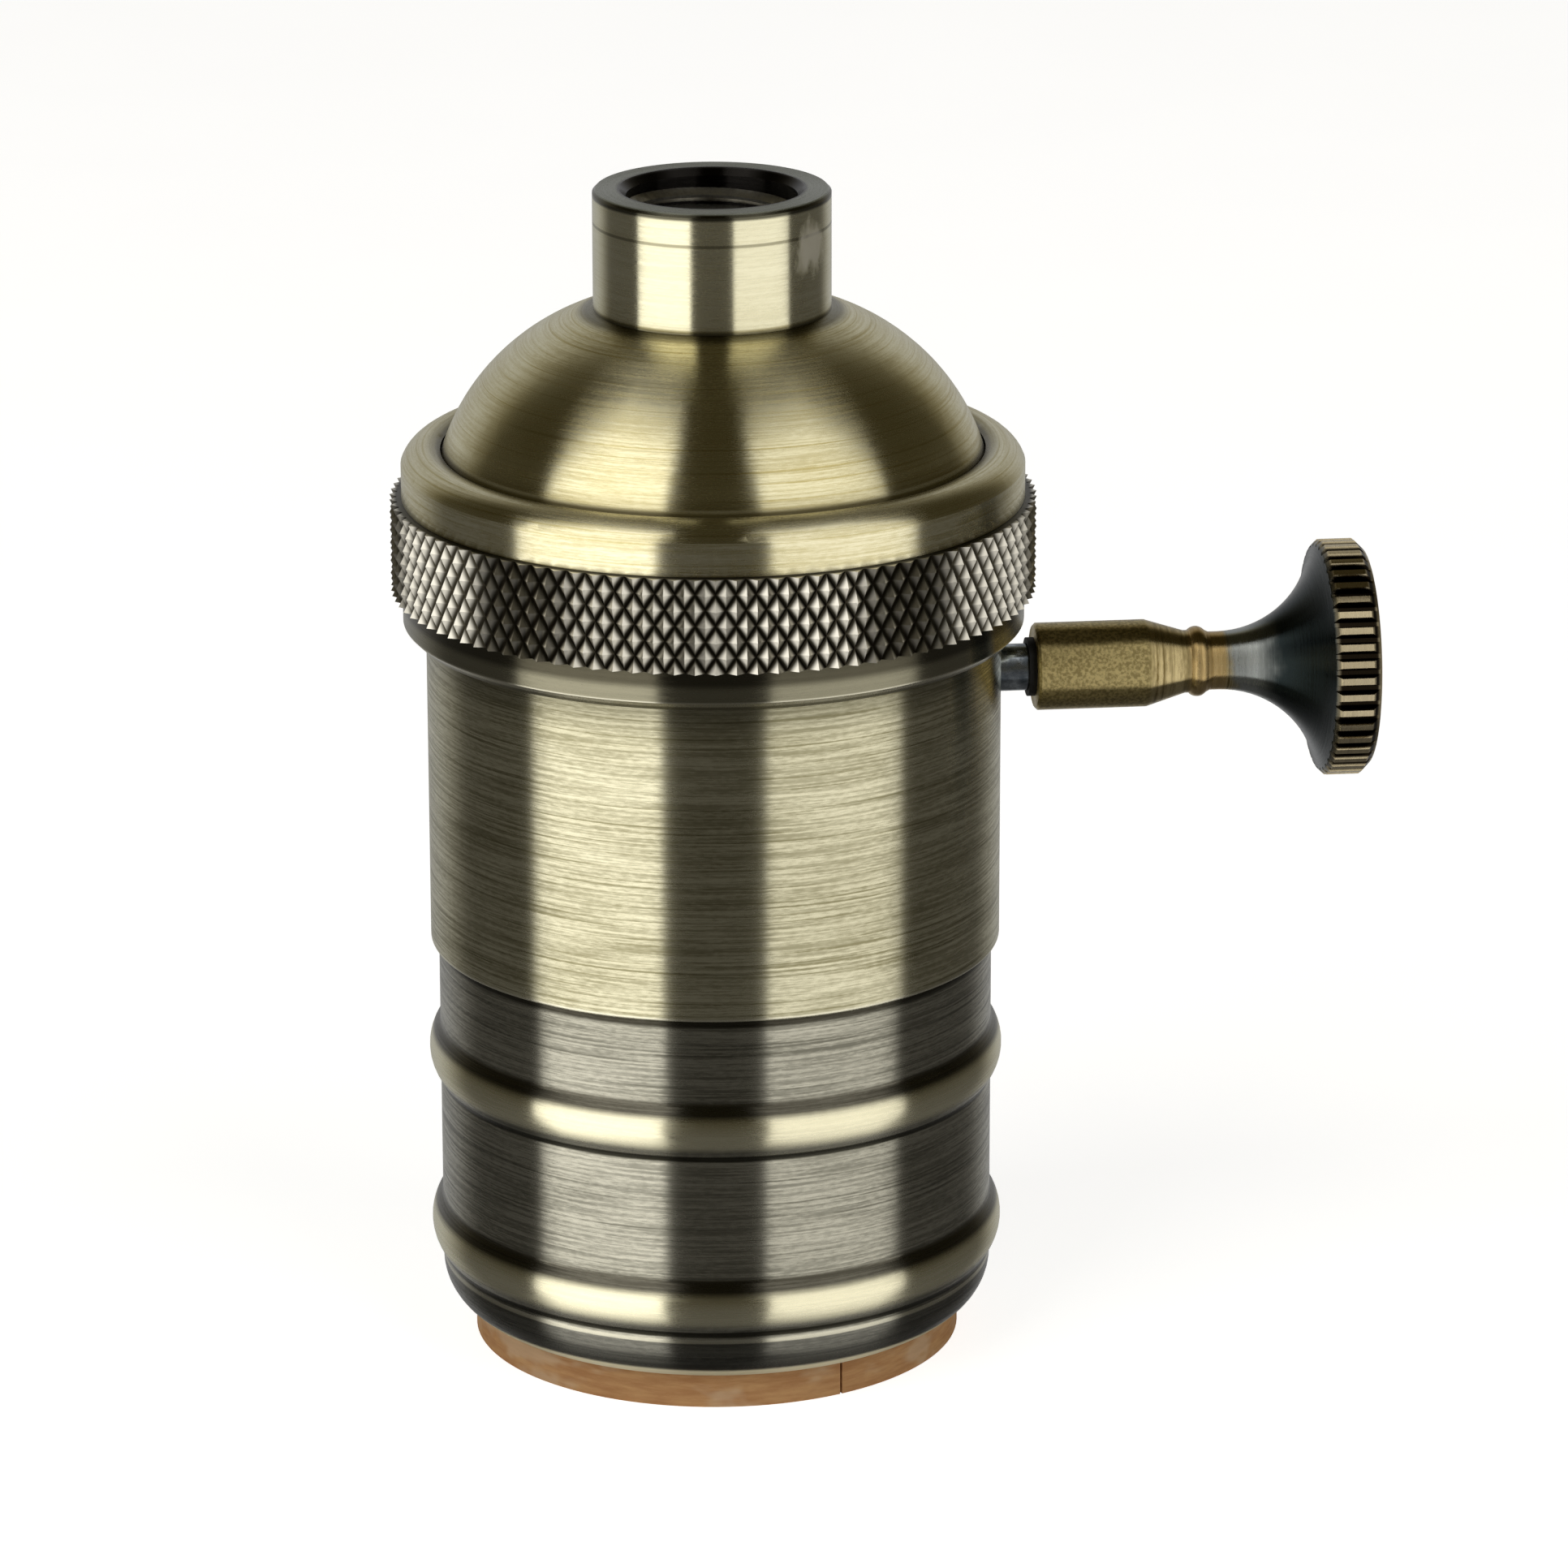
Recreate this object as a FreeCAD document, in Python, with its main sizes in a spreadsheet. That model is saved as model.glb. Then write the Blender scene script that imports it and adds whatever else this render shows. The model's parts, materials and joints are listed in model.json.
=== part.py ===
"""Lamp holder with a screw cap, two-part shell, rotary switch and turn knob, in millimetres.

The holder's axis is Z, the rim of its paper liner stands on z = 0 and the cord entry points up.
The turn knob lies along +X.  Every size is a cell of the sheet "dim"; each piece is bound to it.
"""
import FreeCAD, Part
import math
import os
import Sketcher

SIZES = {
    # Shell of two tubes
    "upper_radius": 16.97,
    "upper_wall": 0.45,
    "upper_edge": 24.85,
    "rim_rise": 11.94,
    "edge_round": 0.12,
    "lower_wall": 0.45,
    "collar_drop": 4.56,
    "telescope_gap": 0.02,
    "bead_proud": 0.65,
    "bead_width": 3.3,
    "bead_root": 0.35,
    "bead_spacing": 10.95,
    "lip_inset": 1.45,
    "lip_edge": 2.2,
    "lip_rise": 2.4,
    "lip_band": 0.7,
    "slot_width": 4.5,
    # Paper liner
    "liner_inset": 0.48,
    "liner_wall": 0.6,
    "liner_height": 27.0,
    "liner_slit": 0.15,
    "seam_turn": 24.5,
    # Screw cap: dome, neck and knurled ring
    "neck_radius": 6.96,
    "neck_rise": 19.6,
    "neck_chamfer": 0.2,
    "entry_radius": 5.0,
    "entry_chamfer": 0.42,
    "dome_swing": 12.95,
    "dome_foot": 0.75,
    "dome_drop": 1.9,
    "dome_wall": 1.0,
    "flange_inset": 0.02,
    "flange_thickness": 1.0,
    "ring_wall": 1.29,
    "ring_skirt": 2.4,
    "ring_lip": 1.2,
    "ring_drop": 0.85,
    "ring_shoulder": 1.6,
    "lip_gap": 0.12,
    "ring_chamfer": 0.5,
    "thread_gap": 0.05,
    "flange_gap": 0.05,
    "knurl_proud": 0.69,
    "knurl_depth": 0.45,
    "knurl_margin": 2.85,
    "knurl_height": 5.55,
    "knurl_count": 100,
    "knurl_rows": 6,
    # Insulating body and its cover
    "body_base": 23.0,
    "foot_gap": 0.02,
    "barrel_gap": 0.35,
    "collar_gap": 0.17,
    "collar_height": 2.0,
    "head_step": 0.4,
    "body_rise": 6.94,
    "boss_inset": 1.0,
    "boss_drop": 1.0,
    "chamber_back": 6.0,
    "chamber_front": 9.3,
    "chamber_gap": 0.4,
    "chamber_drop": 5.56,
    "well_half": 3.1,
    "well_leg": 3.2,
    "well_skin": 2.2,
    "cover_thickness": 2.5,
    "tongue_drop": 0.8,
    "tongue_gap": 0.15,
    "hole_gap": 0.05,
    "slip_gap": 0.02,
    # Rolled screw shell for the lamp's cap
    "lamp_pitch": 3.629,
    "lamp_turns": 5.0,
    "lamp_gap": 0.32,
    "lamp_throw": 0.55,
    "lamp_sheet": 0.35,
    "end_rim": 3.75,
    # Bent strips
    "strip_gauge": 0.4,
    "strip_half": 2.6,
    "strip_gap": 0.1,
    "brush_stand": 5.6,
    "brush_gap": 0.15,
    "brush_rise": 3.0,
    "neutral_gap": 0.125,
    "tab_reach": 3.0,
    "foot_tab": 1.6,
    # Screws and rivets
    "terminal_inset": 5.7,
    "terminal_head": 2.6,
    "terminal_head_height": 1.7,
    "terminal_shank": 1.5,
    "terminal_length": 6.6,
    "cover_screw_inset": 2.49,
    "cover_screw_turn": 42.15,
    "cover_screw_head": 2.2,
    "cover_screw_head_height": 1.4,
    "cover_screw_shank": 1.2,
    "cover_screw_length": 9.0,
    "driver_slot": 0.6,
    "driver_depth": 0.7,
    "rivet_inset": 2.25,
    "rivet_head": 1.6,
    "rivet_head_height": 0.5,
    "rivet_shank": 0.9,
    "rivet_length": 4.0,
    # Centre contact
    "contact_drop": 4.0,
    "contact_radius": 3.3,
    "contact_crown": 0.6,
    "contact_rim": 0.6,
    "stem_radius": 1.6,
    "stem_gap": 0.05,
    "stem_spare": 0.8,
    "eyelet_wall": 0.25,
    "eyelet_flange": 3.0,
    "eyelet_lip": 0.4,
    "eyelet_swage": 2.7,
    "spring_wire": 0.2,
    "spring_radius": 2.35,
    "spring_turns": 3.0,
    "clip_radius": 2.6,
    "clip_thickness": 0.5,
    "clip_groove": 0.3,
    "clip_gap": 0.1,
    # Switch shaft and what turns with it
    "knob_axis": 40.56,
    "shaft_radius": 1.4,
    "shaft_gap": 0.05,
    "shaft_back": 8.8,
    "shaft_spare": 0.6,
    "drum_radius": 4.6,
    "drum_half": 3.0,
    "segment_depth": 0.5,
    "segment_arc": 70.0,
    "segment_bridge": 0.4,
    "cam_gap": 0.7,
    "cam_length": 2.8,
    "cam_flat": 3.0,
    "cam_corner": 1.9,
    "leaf_gap": 0.15,
    "leaf_gauge": 0.3,
    "leaf_half": 1.2,
    "leaf_ledge": 1.0,
    "leaf_tab": 1.5,
    "bridge_half": 1.5,
    "bush_flange": 2.5,
    "bush_flange_length": 0.8,
    "bush_radius": 2.0,
    "bush_reach": 16.0,
    "washer_radius": 1.75,
    "washer_thickness": 0.45,
    # Turn knob, along its own axis from the holder's axis
    "knob_start": 19.1,
    "knob_bore": 5.5,
    "sleeve_radius": 2.6,
    "sleeve_chamfer": 0.15,
    "sleeve_length": 6.65,
    "taper_length": 2.35,
    "groove_radius": 1.87,
    "groove_length": 0.25,
    "collar_bead_proud": 0.23,
    "collar_bead_length": 1.0,
    "waist_radius": 1.74,
    "waist_length": 0.55,
    "flare_swing": 6.1,
    "wheel_radius": 7.04,
    "wheel_back": 0.3,
    "wheel_length": 2.75,
    "wheel_chamfer": 0.55,
    "tooth_count": 44,
    "tooth_depth": 0.42,
    "tooth_gap": 0.62,
}

doc = FreeCAD.newDocument("LampHolder")


def make_sheet():
    """One row for each size, with its name as the alias."""
    sheet = doc.addObject("Spreadsheet::Sheet", "dim")
    for row, (alias, value) in enumerate(SIZES.items(), start=1):
        sheet.set(f"A{row}", alias)
        sheet.set(f"B{row}", str(value))
        sheet.setAlias(f"B{row}", alias)
    doc.recompute()
    return sheet


dim = make_sheet()


def value(expression):
    """The number that a sheet expression gives now."""
    return float(dim.evalExpression(expression))


# Lengths that several pieces share, as sheet expressions; first the heights
UPPER_RIM = "(dim.knob_axis + dim.rim_rise)"
LOWER_RIM = "(dim.knob_axis - dim.collar_drop)"
LIP_ROOT = "(dim.lip_edge + dim.lip_rise)"
LOW_BEAD = f"({LIP_ROOT} + dim.lip_band + dim.bead_width / 2)"
HIGH_BEAD = f"({LOW_BEAD} + dim.bead_spacing)"
FLANGE_TOP = f"({UPPER_RIM} + dim.flange_thickness)"
DOME_CENTRE = f"({UPPER_RIM} - dim.dome_drop)"
NECK_TOP = f"({DOME_CENTRE} + dim.neck_rise)"
RING_SEAT = f"({FLANGE_TOP} + dim.flange_gap)"
RING_TOP = f"({RING_SEAT} + dim.ring_lip)"
KNURL_TOP = f"({RING_TOP} - dim.knurl_margin)"
KNURL_BOTTOM = f"({KNURL_TOP} - dim.knurl_height)"
BODY_TOP = "(dim.knob_axis + dim.body_rise)"
CHAMBER_FLOOR = "(dim.knob_axis - dim.chamber_drop)"
WELL_FLOOR = "(dim.body_base + dim.well_skin)"
BOSS_BASE = "(dim.body_base - dim.boss_drop)"
COVER_TOP = f"({BODY_TOP} + dim.cover_thickness)"
EYELET_TOP = f"({WELL_FLOOR} + dim.strip_gauge + dim.eyelet_lip)"
CONTACT_TIP = f"({BOSS_BASE} - dim.contact_drop)"
CONTACT_BACK = f"({CONTACT_TIP} + dim.contact_crown + dim.contact_rim)"
STEM_TOP = f"({EYELET_TOP} + dim.clip_gap + dim.clip_thickness + dim.stem_spare)"
CAM_REACH = "(sqrt(2) * dim.cam_flat - (sqrt(2) - 1) * dim.cam_corner)"
LEAF_BASE = f"(dim.knob_axis + {CAM_REACH} + dim.leaf_gap)"

# Radii and distances from the holder's axis
UPPER_INSIDE = "(dim.upper_radius - dim.upper_wall)"
LOWER_RADIUS = f"({UPPER_INSIDE} - dim.telescope_gap)"
BEAD_SWING = "((dim.bead_width^2 / 4 + dim.bead_proud^2) / (2 * dim.bead_proud))"
LIP_RADIUS = f"({LOWER_RADIUS} - dim.lip_inset)"
LIP_SWING = "((dim.lip_inset^2 + dim.lip_rise^2) / (2 * dim.lip_inset))"
LINER_RADIUS = f"({LIP_RADIUS} - dim.liner_inset)"
LINER_INSIDE = f"({LINER_RADIUS} - dim.liner_wall)"
FOOT_RADIUS = f"({LINER_INSIDE} - dim.foot_gap)"
LAMP_MEAN = f"({LINER_INSIDE} - dim.lamp_gap - dim.lamp_throw - dim.lamp_sheet)"
LAMP_WINDOW = f"({LAMP_MEAN} - dim.end_rim)"
BOSS_RADIUS = f"({LAMP_WINDOW} - dim.boss_inset)"
RIVET_OFFSET = f"({LAMP_MEAN} - dim.rivet_inset)"
FOOT_REACH = f"({RIVET_OFFSET} - dim.foot_tab)"
NEUTRAL_STAND = f"(sqrt({LINER_INSIDE}^2 - dim.strip_half^2) - dim.strip_gauge - dim.neutral_gap)"
BARREL_RADIUS = f"({LOWER_RADIUS} - dim.lower_wall - dim.barrel_gap)"
COLLAR_RADIUS = f"({UPPER_INSIDE} - dim.collar_gap)"
HEAD_RADIUS = f"({BARREL_RADIUS} - dim.head_step)"
TERMINAL_OFFSET = f"({HEAD_RADIUS} - dim.terminal_inset)"
CHAMBER_HALF = "(dim.brush_stand + dim.strip_gauge + dim.chamber_gap)"
FLANGE_RADIUS = "(dim.upper_radius - dim.flange_inset)"
DOME_REACH = "sqrt(dim.dome_swing^2 - (dim.dome_drop + dim.flange_thickness)^2)"
DOME_OFFSET = f"(dim.upper_radius - dim.dome_foot - {DOME_REACH})"
RING_BORE = "(dim.upper_radius + dim.thread_gap)"
RING_RADIUS = f"({RING_BORE} + dim.ring_wall)"
KNURL_RADIUS = f"({RING_RADIUS} + dim.knurl_proud)"
EYELET_RADIUS = "(dim.stem_radius + dim.stem_gap + dim.eyelet_wall)"

# Distances along the knob's axis and its shaft
SHAFT_CLIP = "(dim.chamber_front - dim.bush_flange_length - dim.clip_gap - dim.clip_thickness)"
SHAFT_BORE = "(dim.shaft_radius + dim.slip_gap)"
SHAFT_TIP = "(dim.knob_start + dim.knob_bore - dim.shaft_spare)"
CAM_START = f"({SHAFT_CLIP} - dim.cam_gap - dim.cam_length)"
CAM_MIDDLE = f"({CAM_START} + dim.cam_length / 2)"
SLEEVE_END = "(dim.knob_start + dim.sleeve_length)"
TAPER_END = f"({SLEEVE_END} + dim.taper_length)"
COLLAR_BEAD = f"({TAPER_END} + dim.groove_length)"
COLLAR_BEAD_END = f"({COLLAR_BEAD} + dim.collar_bead_length)"
WAIST_START = f"({COLLAR_BEAD_END} + dim.groove_length)"
FLARE_START = f"({WAIST_START} + dim.waist_length)"
FLARE_RADIUS = "(dim.wheel_radius - dim.wheel_back)"
FLARE_DROP = f"(dim.waist_radius + dim.flare_swing - {FLARE_RADIUS})"
FLARE_END = f"({FLARE_START} + sqrt(dim.flare_swing^2 - {FLARE_DROP}^2))"
WHEEL_END = f"({FLARE_END} + dim.wheel_length)"


def new_body(name, height=None):
    """A body named for its piece; height lifts its own origin up the Z axis."""
    body = doc.addObject("PartDesign::Body", name)
    body.Label = name
    if height:
        body.setExpression("Placement.Base.z", height)
    return body


def new_sketch(body, name, plane, offset=None):
    """A sketch on one of the body's own origin planes."""
    sketch = body.newObject("Sketcher::SketchObject", name)
    origin = next(item for item in body.Origin.OriginFeatures if item.Role == plane)
    sketch.AttachmentSupport = [(origin, "")]
    sketch.MapMode = "FlatFace"
    if offset:
        sketch.setExpression("AttachmentOffset.Base.z", offset)
    return sketch


def pin_point(sketch, geometry, position, tag, x, y):
    """Ties a point of the sketch to the expressions of its two coordinates."""
    for axis, expression, kind, line in (("x", x, "DistanceX", -2), ("y", y, "DistanceY", -1)):
        if expression == "0":
            sketch.addConstraint(Sketcher.Constraint("PointOnObject", geometry, position, line))
            continue
        distance = Sketcher.Constraint(kind, -1, 1, geometry, position, value(expression))
        index = sketch.addConstraint(distance)
        sketch.renameConstraint(index, f"{axis}{tag}")
        sketch.setExpression(f"Constraints.{axis}{tag}", expression)


def draw_circle(sketch, x, y, radius):
    """A full circle with its centre and radius bound."""
    centre = FreeCAD.Vector(value(x), value(y), 0)
    normal = FreeCAD.Vector(0, 0, 1)
    geometry = sketch.addGeometry(Part.Circle(centre, normal, value(radius)), False)
    pin_point(sketch, geometry, 3, f"c{geometry}", x, y)
    index = sketch.addConstraint(Sketcher.Constraint("Radius", geometry, value(radius)))
    sketch.renameConstraint(index, f"radius{geometry}")
    sketch.setExpression(f"Constraints.radius{geometry}", radius)


def arc_between(start, end, radius, left):
    """The short arc from start to end, with its centre on the left or the right of the way."""
    chord = end - start
    middle = (start + end) * 0.5
    side = FreeCAD.Vector(-chord.y, chord.x, 0).normalize()
    reach = math.sqrt(max(radius**2 - chord.Length**2 / 4, 0.0))
    centre = middle + side * (reach if left else -reach)
    first, last = (start, end) if left else (end, start)
    angles = [math.atan2(point.y - centre.y, point.x - centre.x) for point in (first, last)]
    if angles[1] < angles[0]:
        angles[1] += 2 * math.pi
    return Part.ArcOfCircle(Part.Circle(centre, FreeCAD.Vector(0, 0, 1), radius), *angles)


def draw_outline(sketch, corners):
    """A closed outline. A corner is (x, y), or (x, y, radius, side) where an arc leaves it."""
    points = [FreeCAD.Vector(value(corner[0]), value(corner[1]), 0) for corner in corners]
    ends = []
    for number, corner in enumerate(corners):
        start, end = points[number], points[(number + 1) % len(points)]
        if len(corner) == 2:
            geometry = sketch.addGeometry(Part.LineSegment(start, end), False)
            ends.append((geometry, 1, 2))
            continue
        left = corner[3] == "left"
        arc = arc_between(start, end, value(corner[2]), left)
        geometry = sketch.addGeometry(arc, False)
        ends.append((geometry, 1, 2) if left else (geometry, 2, 1))
    for number, (geometry, _, last) in enumerate(ends):
        follower, its_first, _ = ends[(number + 1) % len(ends)]
        sketch.addConstraint(Sketcher.Constraint("Coincident", geometry, last, follower, its_first))
    for number, corner in enumerate(corners):
        geometry, first, _ = ends[number]
        pin_point(sketch, geometry, first, f"p{geometry}", corner[0], corner[1])
        if len(corner) > 2:
            index = sketch.addConstraint(Sketcher.Constraint("Radius", geometry, value(corner[2])))
            sketch.renameConstraint(index, f"radius{geometry}")
            sketch.setExpression(f"Constraints.radius{geometry}", corner[2])


def rectangle(left, right, bottom, top):
    """Corners of an upright rectangle."""
    return [(left, bottom), (right, bottom), (right, top), (left, top)]


def turn(body, name, corners, axis="V_Axis"):
    """Revolves an outline of the XZ plane about the body's Z axis, or about X with H_Axis."""
    sketch = new_sketch(body, f"{name}Outline", "XZ_Plane")
    draw_outline(sketch, corners)
    feature = body.newObject("PartDesign::Revolution", name)
    feature.Profile = sketch
    feature.ReferenceAxis = (sketch, [axis])
    feature.Angle = 360
    doc.recompute()
    return feature


def extrude(body, name, sketch, length, cut=False, both=False, reverse=False):
    """Pads or pockets a sketch by a bound length and tests that it changed the solid."""
    before = 0.0 if body.Tip is None else body.Shape.Volume
    feature = body.newObject("PartDesign::Pocket" if cut else "PartDesign::Pad", name)
    feature.Profile = sketch
    feature.setExpression("Length", length)
    feature.SideType = "Symmetric" if both else "One side"
    feature.Reversed = reverse
    doc.recompute()
    change = body.Shape.Volume - before
    if change * (-1 if cut else 1) <= 0:
        raise RuntimeError(f"{name} doesn't change {body.Label}")
    return feature


def box_cut(body, name, plane, corners, length, offset=None, both=False, reverse=False):
    """A pocket with a straight-sided outline."""
    sketch = new_sketch(body, f"{name}Outline", plane, offset)
    draw_outline(sketch, corners)
    return extrude(body, name, sketch, length, True, both, reverse)


def hole_cut(body, name, plane, centres, radius, depth, offset=None, reverse=False):
    """Round holes of one radius and depth."""
    sketch = new_sketch(body, f"{name}Outline", plane, offset)
    for x, y in centres:
        draw_circle(sketch, x, y, radius)
    return extrude(body, name, sketch, depth, True, False, reverse)


def round_edges(body, name, radius, wanted):
    """Fillets the edges that a test of their shape picks out."""
    base = body.Tip
    names = [f"Edge{n}" for n, edge in enumerate(base.Shape.Edges, start=1) if wanted(edge)]
    fillet = body.newObject("PartDesign::Fillet", name)
    fillet.Base = (base, names)
    fillet.setExpression("Radius", radius)
    doc.recompute()
    return fillet


def is_ring(edge, radius, heights, slack=0.01):
    """Tests for a level circle of a radius at one of some heights."""
    curve = edge.Curve
    if not isinstance(curve, Part.Circle) or abs(curve.Radius - radius) > slack:
        return False
    return any(abs(curve.Center.z - height) < slack for height in heights)


def make_upper_shell():
    """Plain tube; its slot lets the switch shaft drop in from above."""
    body = new_body("upper_shell")
    corners = rectangle(UPPER_INSIDE, "dim.upper_radius", "dim.upper_edge", UPPER_RIM)
    turn(body, "UpperTube", corners)
    foot = value("dim.upper_edge")
    outer = value("dim.upper_radius")
    round_edges(body, "UpperEdge", "dim.edge_round", lambda edge: is_ring(edge, outer, [foot]))
    half = "dim.slot_width / 2"
    reach = "dim.upper_radius + dim.slot_width"
    end = [("0", "dim.knob_axis")]
    hole_cut(body, "SlotEnd", "YZ_Plane", end, half, reach, reverse=True)
    slot = rectangle(f"-{half}", half, "dim.knob_axis", f"{UPPER_RIM} + dim.slot_width")
    box_cut(body, "ShaftSlot", "YZ_Plane", slot, reach, reverse=True)
    return body


def bead_side(centre, swing, radius, half, upward):
    """The two corners and the arc of one rolled bead on a wall of the given radius."""
    low, high = f"{centre} - {half}", f"{centre} + {half}"
    if upward:
        return [(radius, low, swing, "left"), (radius, high)]
    return [(radius, high, swing, "right"), (radius, low)]


def make_lower_shell():
    """Tube with two rolled beads and a rim that curls in towards the liner."""
    body = new_body("lower_shell")
    outer = LOWER_RADIUS
    inner = f"({outer} - dim.lower_wall)"
    inner_swing = f"({BEAD_SWING} - dim.lower_wall)"
    inner_half = f"sqrt(dim.bead_proud * (2 * {inner_swing} - dim.bead_proud))"
    lip_turn = f"asin(dim.lip_rise / {LIP_SWING})"
    lip_centre = f"({outer} - {LIP_SWING})"
    lip_inner = f"({LIP_SWING} - dim.lower_wall)"
    corners = [(LIP_RADIUS, "dim.lip_edge", LIP_SWING, "left"), (outer, LIP_ROOT)]
    corners += bead_side(LOW_BEAD, BEAD_SWING, outer, "dim.bead_width / 2", True)
    corners += bead_side(HIGH_BEAD, BEAD_SWING, outer, "dim.bead_width / 2", True)
    corners += [(outer, LOWER_RIM), (inner, LOWER_RIM)]
    corners += bead_side(HIGH_BEAD, inner_swing, inner, inner_half, False)
    corners += bead_side(LOW_BEAD, inner_swing, inner, inner_half, False)
    corners += [
        (inner, LIP_ROOT, lip_inner, "right"),
        (
            f"{lip_centre} + {lip_inner} * cos({lip_turn})",
            f"{LIP_ROOT} - {lip_inner} * sin({lip_turn})",
        ),
    ]
    turn(body, "LowerTube", corners)
    roots = [
        value(f"{bead} {sign} dim.bead_width / 2") for bead in (LOW_BEAD, HIGH_BEAD) for sign in "+-"
    ]
    radius = value(outer)
    round_edges(body, "BeadRoots", "dim.bead_root", lambda edge: is_ring(edge, radius, roots))
    return body


def make_paper_liner():
    """Rolled board tube with a butt seam down one side."""
    body = new_body("paper_liner")
    inner = f"{LINER_RADIUS} - dim.liner_wall"
    turn(body, "BoardTube", rectangle(inner, LINER_RADIUS, "0", "dim.liner_height"))
    half = "dim.liner_slit / 2"
    corners = rectangle(f"-{half}", half, "-dim.liner_wall", "dim.liner_height + dim.liner_wall")
    reach = f"{LINER_RADIUS} + dim.liner_wall"
    box_cut(body, "ButtSeam", "XZ_Plane", corners, reach, reverse=True)
    spin = FreeCAD.Rotation(FreeCAD.Vector(0, 0, 1), value("dim.seam_turn"))
    body.Placement = FreeCAD.Placement(FreeCAD.Vector(), spin)
    body.setExpression("Placement.Rotation.Angle", "dim.seam_turn * 1deg")
    return body


def make_dome_cap():
    """Spun dome with a flange at its foot and a neck that is bored for the cord tube."""
    body = new_body("dome_cap")
    inner_swing = "(dim.dome_swing - dim.dome_wall)"
    flange_rise = f"({FLANGE_TOP} - {DOME_CENTRE})"
    rim_rise = f"({UPPER_RIM} - {DOME_CENTRE})"
    corners = [
        (
            "dim.entry_radius",
            f"{DOME_CENTRE} + sqrt({inner_swing}^2 - (dim.entry_radius - {DOME_OFFSET})^2)",
        ),
        ("dim.entry_radius", f"{NECK_TOP} - dim.entry_chamfer"),
        ("dim.entry_radius + dim.entry_chamfer", NECK_TOP),
        ("dim.neck_radius - dim.neck_chamfer", NECK_TOP),
        ("dim.neck_radius", f"{NECK_TOP} - dim.neck_chamfer"),
        (
            "dim.neck_radius",
            f"{DOME_CENTRE} + sqrt(dim.dome_swing^2 - (dim.neck_radius - {DOME_OFFSET})^2)",
            "dim.dome_swing",
            "right",
        ),
        (f"{DOME_OFFSET} + sqrt(dim.dome_swing^2 - {flange_rise}^2)", FLANGE_TOP),
        (FLANGE_RADIUS, FLANGE_TOP),
        (FLANGE_RADIUS, UPPER_RIM),
        (
            f"{DOME_OFFSET} + sqrt({inner_swing}^2 - {rim_rise}^2)",
            UPPER_RIM,
            inner_swing,
            "left",
        ),
    ]
    turn(body, "Dome", corners)
    return body


def beside_dome(height):
    """Radius that clears the dome's outside by the lip's gap, at a height."""
    rise = f"({height} - {DOME_CENTRE})"
    return f"{DOME_OFFSET} + sqrt(dim.dome_swing^2 - {rise}^2) + dim.lip_gap"


def make_ring_blank():
    """The turned union ring before knurling: an inner lip, a threaded bore and a round shoulder."""
    body = new_body("ring_blank")
    bottom = f"({KNURL_BOTTOM} - dim.ring_skirt)"
    corners = [
        (beside_dome(RING_SEAT), RING_SEAT),
        (beside_dome(RING_TOP), RING_TOP, "dim.ring_shoulder", "right"),
        (RING_RADIUS, f"{RING_TOP} - dim.ring_drop"),
        (RING_RADIUS, f"{bottom} + dim.ring_chamfer"),
        (f"{RING_RADIUS} - dim.ring_chamfer", bottom),
        (RING_BORE, bottom),
        (RING_BORE, RING_SEAT),
    ]
    turn(body, "RingBlank", corners)
    return body


def knurl_point(step, row, radius):
    """A point of the knurl's lattice, half a diamond wide and half a diamond high."""
    angle = math.pi * step / SIZES["knurl_count"]
    height = value(KNURL_BOTTOM) + SIZES["knurl_height"] * row / SIZES["knurl_rows"]
    return FreeCAD.Vector(radius * math.cos(angle), radius * math.sin(angle), height)


def knurl_faces():
    """Four flat flanks for each diamond; the lattice points between the tips lie in the valleys."""
    rows = SIZES["knurl_rows"]
    tip_radius = value(KNURL_RADIUS)
    valley_radius = tip_radius - SIZES["knurl_depth"]
    faces = []
    for row in range(rows + 1):
        for step in range(row % 2 + 1, 2 * SIZES["knurl_count"] + 1, 2):
            tip = knurl_point(step, row, tip_radius)
            left = knurl_point(step - 1, row, valley_radius)
            right = knurl_point(step + 1, row, valley_radius)
            if row < rows:
                above = knurl_point(step, row + 1, valley_radius)
                faces += [(tip, right, above), (tip, above, left)]
            if row > 0:
                below = knurl_point(step, row - 1, valley_radius)
                faces += [(tip, left, below), (tip, below, right)]
    return [Part.Face(Part.makePolygon([*corners, corners[0]])) for corners in faces]


def knurl_rim(row):
    """Outline of the knurl's end: tips and valleys by turns."""
    tip_radius = value(KNURL_RADIUS)
    valley_radius = tip_radius - SIZES["knurl_depth"]
    points = [
        knurl_point(step, row, valley_radius if (step + row) % 2 == 0 else tip_radius)
        for step in range(2 * SIZES["knurl_count"])
    ]
    return Part.Face(Part.makePolygon([*points, points[0]]))


def make_knurl_band():
    """The diamond knurl as a ring of its own, from its flanks, two flat ends and a round bore."""
    bore = Part.makeCylinder(
        value(RING_RADIUS) - SIZES["knurl_depth"],
        SIZES["knurl_height"],
        FreeCAD.Vector(0, 0, value(KNURL_BOTTOM)),
    )
    faces = [*knurl_faces(), knurl_rim(0), knurl_rim(SIZES["knurl_rows"])]
    solid = Part.Solid(Part.makeShell(faces))
    solid.fix(1e-4, 1e-4, 1e-4)
    band = doc.addObject("Part::Feature", "KnurlBand")
    band.Shape = solid.cut(bore)
    return band


def make_knurled_ring():
    """Union ring that holds the dome's flange down on the upper shell."""
    ring = doc.addObject("Part::Fuse", "knurled_ring")
    ring.Label = "knurled_ring"
    ring.Base = make_ring_blank()
    ring.Tool = make_knurl_band()
    doc.recompute()
    return ring


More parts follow.
